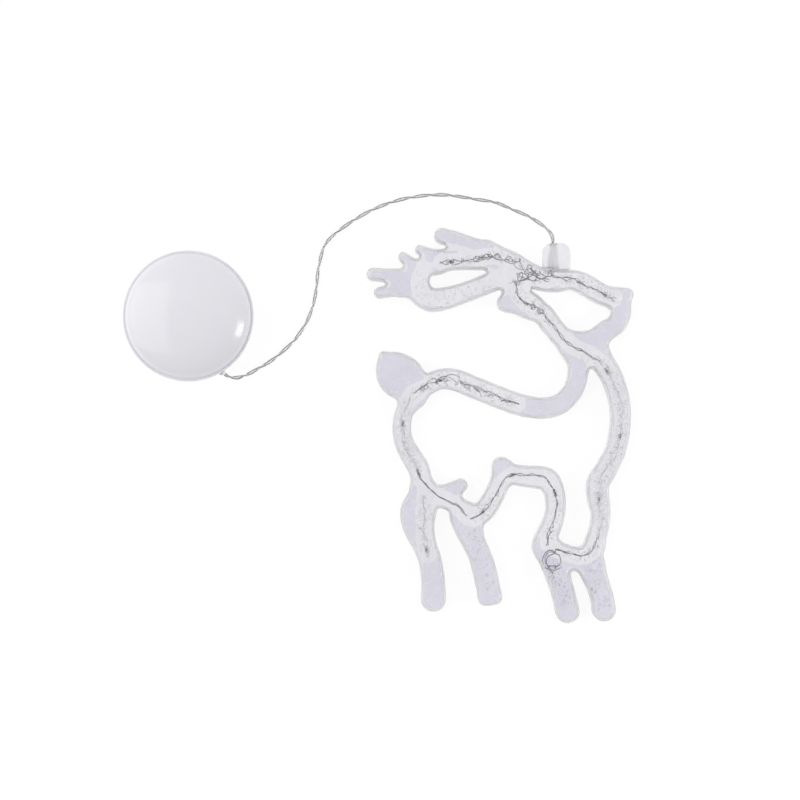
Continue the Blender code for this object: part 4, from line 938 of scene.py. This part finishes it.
def wire_strands(name):
    """A run's two enamelled wires, with their kinks, crossings and folds."""
    route = wire_route(name)
    first, last = route[1] - route[0], route[-1] - route[-2]
    route = np.concatenate([[route[0] - first * WIRE_END / np.linalg.norm(first)], route,
                            [route[-1] + last * WIRE_END / np.linalg.norm(last)]])
    total = distances(route)[-1]
    t = np.arange(0, total, WIRE_STEP)
    along, _, _ = directions(read_along(route, t))
    across = np.stack([-along[:, 1], along[:, 0], np.zeros(len(t))], axis=1)
    seed = sum(map(ord, name))
    common = 0.3 * np.sin(t / 2.6 + seed) + 0.12 * np.sin(t / 1.1 + 2 * seed)
    coiled = np.clip((t - total + COIL_LENGTH) / 6, 0, 1) * (name == "chest")
    strands = []
    for side in (-1, 1):
        turn = math.tau * t / ENAMEL_PITCH + seed
        loose = 0.2 + SLACK[name] * 0.5 * (1 + np.sin(t / 8.3 + seed))
        ahead = t.copy()
        aside = common + side * loose * np.sin(turn) * (1 - coiled)
        aside -= coiled * (1.0 + side * 1.1 + 0.7 * np.sin(t / 5 + 2 * side))
        lift = 0.2 + side * 0.2 * np.cos(turn)
        for centre, width, folds, size in TANGLES[name]:
            share = np.clip(1 - ((t - centre) / (width / 2)) ** 2, 0, 1) ** 0.8
            fold = math.tau * folds * (t - centre) / width + seed + side * 0.9
            ahead += share * width * 0.2 * np.sin(fold)
            aside += share * size * np.cos(fold + 0.5 * side)
            lift += share * (0.7 + 0.6 * np.sin(fold * 0.43 + side))
        path = read_along(route, np.clip(ahead, 0, total)) + across * aside[:, None]
        path[:, 2] += np.clip(lift, 0, 2.2)
        if name == "chest" and side > 0:
            path = path[t < total - OUTER_END]
        for k in range(LED_COUNTS[name]):
            low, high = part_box(f"led_{name}_{k + 1}")
            led = np.array((low + high) / 2) / MM
            apart = np.hypot(path[:, 0] - led[0], path[:, 1] - led[1])
            path[:, 2] += np.exp(-(apart / WIRE_SPREAD_AT_LED) ** 2) * (led[2] - path[:, 2])
        strands.append(evenly(keep_inside(path), 0.3))
    return strands


def keep_inside(path):
    """The path, pulled back where it would touch the channel's walls."""
    free = (path[:, 1] > IN_GLAND_Y) & (np.abs(path[:, 0] - ENTRY_X) < 3)
    path = path.copy()
    for _ in range(2):
        over = frame_distance(path[:, 0], path[:, 1]) + WALL + WIRE_CLEARANCE
        out = (over > 0) & ~free
        if out.any():
            path[out, :2] -= outward(frame_distance, path[out, :2]) * over[out, None]
    return path


def wire_radii(strand):
    """The wire's radius along a strand, finer behind the frosted layer and in the gland."""
    x, y = strand[:, 0], strand[:, 1]
    hidden = np.clip(-np.minimum(frost_distance(x, y), gland_distance(x, y)), 0, 1)
    coiled = np.hypot(x - COIL_CENTRE[0], y - COIL_CENTRE[1]) < 2 * COIL_RADIUS
    return ENAMEL_RADIUS * (1 - HIDDEN_THINNING * hidden) * np.where(coiled, COILED_THICKENING, 1.0)


def make_led_wires():
    for name in WIRES:
        shape, _ = merged(*[tube(strand, wire_radii(strand), 6)
                            for strand in wire_strands(name)])
        piece("wires_" + name, shape, ["enamel"],
              stands_for=["led_wire_" + name])
        for k in range(LED_COUNTS[name]):
            make_led(name, k + 1)


def make_led(name, number):
    """A surface-mount chip on two solder pads, in a drop of clear resin."""
    node = f"led_{name}_{number}"
    low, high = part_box(node)
    centre = np.array((low + high) / 2) / MM
    route = smooth_route([(x, y, centre[2]) for x, y in WIRES[name][1]], 12)
    nearest = int(np.argmin(np.linalg.norm(route - centre, axis=1)))
    way = route[min(nearest + 1, len(route) - 1)] - route[max(nearest - 1, 0)]
    way = way / np.linalg.norm(way)
    turn = np.stack([UP, np.cross(UP, way), way], axis=1)
    turns = np.linspace(-math.pi / 2, math.pi / 2, 15)
    drop = turned([(DROP_RADIUS * math.cos(s) ** 0.8 * (1 + 0.06 * math.sin(3 * s)) / 1.06
                    if abs(s) < ALMOST_QUARTER else 0, DROP_LENGTH / 2 * math.sin(s))
                   for s in turns], 20)
    lens = aimed(turned([(0, 0), (0.3, 0), (0.26, 0.18), (0.14, 0.3), (0, 0.33)], 14),
                 (0, 0, 0), (1, 0, 0))
    lens = moved((lens[0] * (1, 1.0, 1.6), lens[1]), (0.25, 0, 0))
    pads = [soft_box((-0.42, -0.37, s * 0.75 - 0.24), (0.27, 0.37, s * 0.75 + 0.24), 0.07)
            for s in (-1, 1)]
    assembled(node + "_drop", [("resin", drop),
                               ("chip_body", soft_box((-0.4, -0.35, -0.75),
                                                      (0.25, 0.35, 0.75), 0.08)),
                               ("phosphor", lens)] + [("pad", pad) for pad in pads],
              node, place=lambda shape: (shape[0] @ turn.T + centre, shape[1]))


# ---- the battery box

def quarter(radius, low, high):
    """(radius, z) up a quarter of an ellipse, to its top on the axis."""
    turns = np.linspace(0, math.pi / 2, 33)[1:]
    return [(radius * math.cos(s) if s < ALMOST_QUARTER else 0, low + (high - low) * math.sin(s))
            for s in turns]


def make_cover():
    """The domed cover with its lip, rim groove and snap lugs."""
    skirt, bottom, inner_base = RIM_RADIUS + GAP, TUB_SHOULDER + GAP, LIP_TOP + 0.3
    groove = LIP_TOP - 0.14
    rim = filleted([(skirt, inner_base, 0), (skirt, bottom, 0.15), (BOX_RADIUS, bottom, 0.3),
                    (BOX_RADIUS, LIP_TOP - 0.05, 0.5), (DOME_EDGE_RADIUS + 0.45, LIP_TOP, 0.15),
                    (DOME_EDGE_RADIUS + 0.3, groove, 0.1),
                    (DOME_EDGE_RADIUS + 0.02, groove, 0.08)], 5)
    dome = quarter(DOME_EDGE_RADIUS, LIP_TOP, DOME_TOP)
    inside = quarter(skirt - 0.6, inner_base, DOME_TOP - COVER_WALL)
    lug = block((skirt + 0.01, 0, bottom + 0.3), (0.58, 5.0, 0.5), 0.12)
    lugs = [spun(lug, math.radians(30 + 120 * k)) for k in range(3)]
    assembled("cover_dome", [("cover", turned(rim + dome + inside[::-1], 144))]
              + [("cover", lug) for lug in lugs], "battery_cover", "cover", 40)


def make_base():
    """The tub with its socket for the cup, cradle walls, board posts and holes."""
    ledge, pocket = SOCKET_BOTTOM + 0.9, SOCKET_BOTTOM + 3.1
    profile = filleted([
        (0, TUB_FLOOR, 0), (0, pocket, 0), (4.9, pocket, 0.2), (4.9, ledge, 0.15),
        (3.4, ledge, 0.15), (3.4, SOCKET_BOTTOM, 0.2), (SOCKET_RADIUS, SOCKET_BOTTOM, 0.4),
        (SOCKET_RADIUS, TUB_BOTTOM, 0.6), (TUB_RADIUS, TUB_BOTTOM, 2.0),
        (TUB_RADIUS, TUB_SHOULDER, 0.2), (RIM_RADIUS, TUB_SHOULDER, 0.1),
        (RIM_RADIUS, TUB_TOP, 0.25), (TUB_INNER_RADIUS, TUB_TOP, 0.25),
        (TUB_INNER_RADIUS, TUB_FLOOR, 0.6)], 6)
    base = assembled("base_tub", [("base", turned(profile, 128))], "battery_base",
                     crease=40)
    carve(base, in_box(block((SWITCH_X, SWITCH_Y, 0), (*SLOT_SIZE, 20), 0.4)))
    hole = turned([(0, -1), (1.7, -1), (1.7, 8), (0, 8)], 32)
    carve(base, in_box(aimed(hole, GROMMET_OUTER, GROMMET_WAY)))
    foot = TUB_FLOOR - 0.5
    for side in (-1, 1):
        wall_x = CELL_ROW_X + side * (1.5 * CELL_PITCH + 0.75)
        carve(base, in_box(block((wall_x, 0, foot), (1.0, 40, 5.5), 0.25)), "UNION")
    for end in (-1, 1):
        post = block((BOARD_CENTRE[0], BOARD_CENTRE[1] + end * 4, foot),
                     (4.0, 1.6, BOARD_BOTTOM - GAP - foot), 0.15)
        carve(base, in_box(post), "UNION")


def make_cup():
    """A clear vinyl cup with a sealing rim, a rib where it flexes and a stud."""
    under = [(0, 3.1, 0), (CUP_RADIUS * 0.3, 3.0, 0.8), (CUP_RADIUS * 0.6, 2.4, 1.5),
             (CUP_RADIUS - 3.0, 1.0, 0.6), (CUP_RADIUS - 1.2, 0, 0.2), (CUP_RADIUS, 0, 0.15),
             (CUP_RADIUS, 0.5, 0.2)]
    over = [(CUP_RADIUS - 1.0, 1.4, 0.5), (CUP_RADIUS * 0.80, 2.6, 0.6),
            (CUP_RADIUS * 0.76, 2.55, 0.3), (CUP_RADIUS * 0.62, 4.0, 1.2),
            (CUP_RADIUS * 0.36, CUP_TOP, 0.6), (STUD_NECK_RADIUS, CUP_TOP, 0.2),
            (STUD_NECK_RADIUS, SOCKET_BOTTOM + 1.2, 0.2),
            (STUD_HEAD_RADIUS, SOCKET_BOTTOM + 1.2, 0.3),
            (STUD_HEAD_RADIUS, SOCKET_BOTTOM + 2.8, 0.7), (0, SOCKET_BOTTOM + 2.8, 0)]
    assembled("vinyl_cup", [("vinyl", turned(filleted(under + over, 5), 96))],
              "suction_cup", "cup", 50)


def make_cells():
    """Plain sleeved AAA cells between their springs and plates."""
    half = CELL_LENGTH / 2
    flat, shelf, sleeve_radius = -half, half - 0.8, CELL_RADIUS + 0.02
    can = filleted([(0, flat + 0.12, 0), (3.4, flat + 0.12, 0.1), (3.6, flat, 0.1),
                    (4.75, flat, 0.25), (4.85, flat + 0.6, 0.1), (0, flat + 0.7, 0)], 3)
    sleeve = filleted([(4.3, flat + 0.25, 0.1), (CELL_RADIUS, flat + 0.3, 0.35),
                       (CELL_RADIUS, shelf - 0.1, 0.35), (4.2, shelf, 0.1),
                       (4.2, shelf - 0.4, 0.1), (4.3, flat + 0.7, 0.1)], 3)
    band = filleted([(5.1, half - 9.5, 0), (sleeve_radius, half - 9.5, 0.02),
                     (sleeve_radius, half - 4.5, 0.02), (5.1, half - 4.5, 0)], 1)
    cap = filleted([(0, shelf - 0.6, 0), (4.4, shelf - 0.6, 0.1), (4.4, shelf - 0.15, 0.1),
                    (2.3, shelf - 0.1, 0.15), (1.9, shelf, 0.15), (1.9, half, 0.25),
                    (0, half, 0)], 3)
    for k in range(3):
        x, way = CELL_ROW_X + (k - 1) * CELL_PITCH, 1 if k != 1 else -1

        def laid(shape):
            points = shape[0]
            return in_box((np.stack([x + points[:, 0], way * (points[:, 2] + CELL_SHIFT),
                                     CELL_Z + points[:, 1]], axis=1), shape[1]))

        assembled(f"cell_{k + 1}_body",
                  [(look, turned(profile, 48)) for look, profile in
                   (("nickel", can), ("label", sleeve), ("band", band), ("nickel", cap))],
                  f"cell_{k + 1}", place=laid)
        make_contacts(k, x, way)


def make_contacts(k, x, way):
    """A conical spring at a cell's flat end, and a stamped plate at its button."""
    start = CELL_LENGTH / 2 - CELL_SHIFT + GAP + 0.25
    s = np.linspace(0, 1, 140)
    turn = math.tau * SPRING_TURNS * s
    radius = SPRING_RADIUS * (0.5 + 0.5 * np.clip(s * 1.25, 0, 1))
    rise = SPRING_RISE * np.clip((s - 0.08) / 0.84, 0, 1)
    helix = np.stack([x + radius * np.cos(turn), -way * (start + rise),
                      CELL_Z + radius * np.sin(turn)], axis=1)
    assembled(f"spring_{k + 1}", [("steel", tube(helix, 0.25, 10))],
              f"contact_spring_{k + 1}")
    face = CELL_LENGTH / 2 + CELL_SHIFT + GAP
    middle, foot = way * (face + 0.2), TUB_FLOOR + GAP
    plate = block((x, middle, foot), (6.0, 0.36, CELL_Z + 3 - foot), 0.1)
    boss = aimed(turned([(0, -0.1), (1.9, -0.1), (1.6, 0.1), (1.0, 0.2), (0, 0.22)], 24),
                 (x, way * (face + 0.05), CELL_Z), (0, -way, 0))
    lug = block((x + 2.6, middle, CELL_Z + 0.2), (0.8, 0.3, 3.4), 0.08)
    assembled(f"plate_{k + 1}", [("nickel", shape) for shape in (plate, boss, lug)],
              f"contact_plate_{k + 1}")


def make_switch():
    """A slide switch with three pins, whose ridged knob stands in the tub's slot."""
    foot, height = TUB_FLOOR + GAP, SWITCH_SIZE[2]
    top = foot + height
    lid = block((SWITCH_X, SWITCH_Y, top - 0.3), (SWITCH_SIZE[0] - 1, SWITCH_SIZE[1] - 1, 0.55),
                0.1)
    pins = [block((SWITCH_X, SWITCH_Y + step * 2.5, top), (0.6, 0.24, 1.5), 0.06)
            for step in (-1, 0, 1)]
    body = assembled("switch_can", [("steel", block((SWITCH_X, SWITCH_Y, foot), SWITCH_SIZE,
                                                    0.3, 3)), ("knob", lid)]
                     + [("nickel", pin) for pin in pins], "switch_body")
    carve(body, in_box(block((SWITCH_X, SWITCH_Y, 0), (*SLOT_SIZE, TUB_FLOOR + 2.3), 0.1)))
    knob_y, stem_foot = SWITCH_Y - SWITCH_TRAVEL / 2, KNOB_BOTTOM + 0.3
    stem = block((SWITCH_X, knob_y, stem_foot), (*KNOB_SIZE, TUB_FLOOR + 1.8 - stem_foot), 0.2)
    ridges = [block((SWITCH_X, knob_y + step * 0.8, KNOB_BOTTOM), (2.2, 0.5, 0.8), 0.12)
              for step in (-1.5, -0.5, 0.5, 1.5)]
    assembled("slide_knob", [("knob", shape) for shape in (stem, *ridges)],
              "switch_knob", "switch")


def make_board():
    """The board with its tracks and solder, and the chip and resistor on it."""
    top = BOARD_BOTTOM + BOARD_SIZE[2]

    def on_board(x, y, z=0.0):
        return (BOARD_CENTRE[0] + x, BOARD_CENTRE[1] + y, top + z)

    tracks = [block(on_board(x, (low + high) / 2, -0.05), (0.4, high - low, 0.09), 0.03, 1)
              for x, low, high in ((-2.7, -5.2, 4.8), (2.7, -4.6, 5.2), (-0.6, -3.0, -1.8),
                                   (0.6, 2.4, 4.6), (1.5, -5.3, -4.9))]
    blob = turned([(0, -0.05), (0.62, -0.05), (0.55, 0.12), (0.3, 0.34), (0, 0.42)], 16)
    pads = [moved(blob, on_board(x, y))
            for x, y in ((1.2, 3.2), (1.2, 4.6), (-1.5, -5.1), (-2.4, 4.9), (2.4, -5.2))]
    assembled("driver_board",
              [("board", block((*BOARD_CENTRE, BOARD_BOTTOM), BOARD_SIZE, 0.12))]
              + [("track", track) for track in tracks] + [("solder", pad) for pad in pads],
              "circuit_board")
    body = block(on_board(0, 0.45, GAP), (2.5, 3.9, 1.6 - GAP), 0.12)
    dimple = moved(turned([(0, 0), (0.24, 0), (0.2, 0.03), (0, 0.03)], 16),
                   on_board(-0.8, 1.9, 1.59))
    legs = [block(on_board(side * x, -0.96 + k * 0.95, z), (width, 0.32, height), 0.05, 1)
            for side in (-1, 1) for k in range(4)
            for x, z, width, height in ((1.45, 0.75, 0.56, 0.18), (1.62, 0.05, 0.2, 0.85),
                                        (1.75, 0.04, 0.3, 0.16))]
    assembled("timer_chip", [("chip", body), ("ceramic", dimple)]
              + [("solder", leg) for leg in legs], "control_chip")
    film = block(on_board(0, -3.8, 0.35), (2.2, 1.6, 0.55), 0.08)
    under = block(on_board(0, -3.8, 0.1), (2.6, 1.56, 0.5), 0.08)
    ends = [block(on_board(s * 1.3, -3.8, 0.04), (0.6, 1.6, 0.82), 0.12) for s in (-1, 1)]
    assembled("chip_resistor", [("chip", film), ("ceramic", under)]
              + [("solder", end) for end in ends], "resistor")


def make_box_wires():
    """The lead's two cores to the board, and the red and black wires from the cells."""
    top = BOARD_BOTTOM + BOARD_SIZE[2] + 0.8
    cx, cy = BOARD_CENTRE
    mouth = GROMMET_OUTER + GROMMET_WAY * (GROMMET_LENGTH + GAP)
    for name, side in (("lead_core_a", -1), ("lead_core_b", 1)):
        route = smooth_route([tuple(mouth + (0, side * 0.5, 0)),
                              tuple(mouth + (-1.0, -0.6 + side * 0.5, 1.2)),
                              (cx + 2.4, cy + 4.4 + side * 0.7, top + 1.0),
                              (cx + 1.2, cy + 3.9 + side * 0.7, top)], 8)
        assembled(name + "_wire", [("sleeve", tube(route, 0.35, 12)),
                                   ("tinned", tube(route, 0.16, 8))], name)
    blob = turned([(0, -0.35), (0.35, -0.25), (0.5, 0), (0.35, 0.25), (0, 0.35)], 16)
    for name, points in (
            ("red", [(19.0, 14.5, 12.5), (18.4, 17.2, 13.4), (17.7, 20.2, 14.6),
                     (15.9, 23.0, 15.4), (13.4, 23.5, 15.5)]),
            ("black", [(20.7, -13.4, top), (19.6, -17.0, 14.6), (17.8, -20.3, 15.5),
                       (15.9, -22.9, 16.0), (13.9, -23.7, 16.0)])):
        route = smooth_route(points, 8)
        keep = read_along(route, np.linspace(0.8, distances(route)[-1] - 0.8, 40))
        assembled("battery_wire_" + name,
                  [(name, tube(keep, 0.5, 14)), ("solder", tube(route, 0.22, 8)),
                   ("solder", moved(blob, route[-1]))], "box_wire_" + name)


# ---- the stage

def make_stage():
    """A sheet of white paper that glows a little, so that its shadows are faint."""
    data = bpy.data.meshes.new("floor")
    half = FLOOR_HALF
    data.from_pydata([(-half, -half, 0), (half, -half, 0), (half, half, 0), (-half, half, 0)],
                     [], [(0, 1, 2, 3)])
    floor = bpy.data.objects.new("floor", data)
    floor.location.z = -FLOOR_DROP
    bpy.context.scene.collection.objects.link(floor)
    paper = bpy.data.materials.new("white_paper")
    paper.use_nodes = True
    shader = paper.node_tree.nodes["Principled BSDF"]
    for socket, value in (("Base Color", (*PAPER_COLOUR, 1)), ("Roughness", 0.95),
                          ("Specular IOR Level", 0.0), ("Emission Color", (1, 1, 1, 1)),
                          ("Emission Strength", PAPER_GLOW)):
        shader.inputs[socket].default_value = value
    data.materials.append(paper)
    floor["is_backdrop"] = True


def area_light(name, place, target, size, power):
    data = bpy.data.lights.new(name, "AREA")
    data.shape = "RECTANGLE"
    data.size, data.size_y = size
    data.energy = power
    made = bpy.data.objects.new(name, data)
    made.location = place
    made.rotation_mode = "QUATERNION"
    made.rotation_quaternion = (Vector(target) - Vector(place)).to_track_quat("-Z", "Y")
    bpy.context.scene.collection.objects.link(made)


def make_world():
    """A white room that darkens towards the camera's lower edge."""
    world = bpy.data.worlds.new("studio")
    world.use_nodes = True
    nodes, links = world.node_tree.nodes, world.node_tree.links
    split = nodes.new("ShaderNodeSeparateXYZ")
    links.new(nodes.new("ShaderNodeTexCoord").outputs["Generated"], split.inputs["Vector"])
    shade = nodes.new("ShaderNodeMapRange")
    for socket, value in (("From Min", -1.0), ("From Max", 0.8), ("To Min", ROOM_DIM),
                          ("To Max", ROOM_BRIGHT)):
        shade.inputs[socket].default_value = value
    links.new(split.outputs["Y"], shade.inputs["Value"])
    nodes["Background"].inputs["Color"].default_value = (*ROOM_COLOUR, 1)
    links.new(shade.outputs["Result"], nodes["Background"].inputs["Strength"])
    bpy.context.scene.world = world


def make_lights():
    make_world()
    area_light("key", (-1.5, 0.05, 1.15), (-0.05, 0.02, 0), (2.3, 2.2), 19)
    area_light("window", (0.78, -0.16, 0.46), (-0.09, 0.05, 0.02), (0.26, 0.42), 2.4)


LOOKS = make_looks()
low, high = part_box("battery_cover")
BOX_CENTRE = np.array(((low.x + high.x) / 2, (low.y + high.y) / 2, 0)) / MM

make_camera()
lead, conductors, lead_path = make_lead()
grommet = make_grommet()
make_frame()
make_frost()
make_ripples()
make_gland()
make_led_wires()
make_cover()
make_base()
make_cup()
make_cells()
make_switch()
make_board()
make_box_wires()
make_stage()
make_lights()
bpy.context.scene.view_settings.view_transform = "Standard"

low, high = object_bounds()
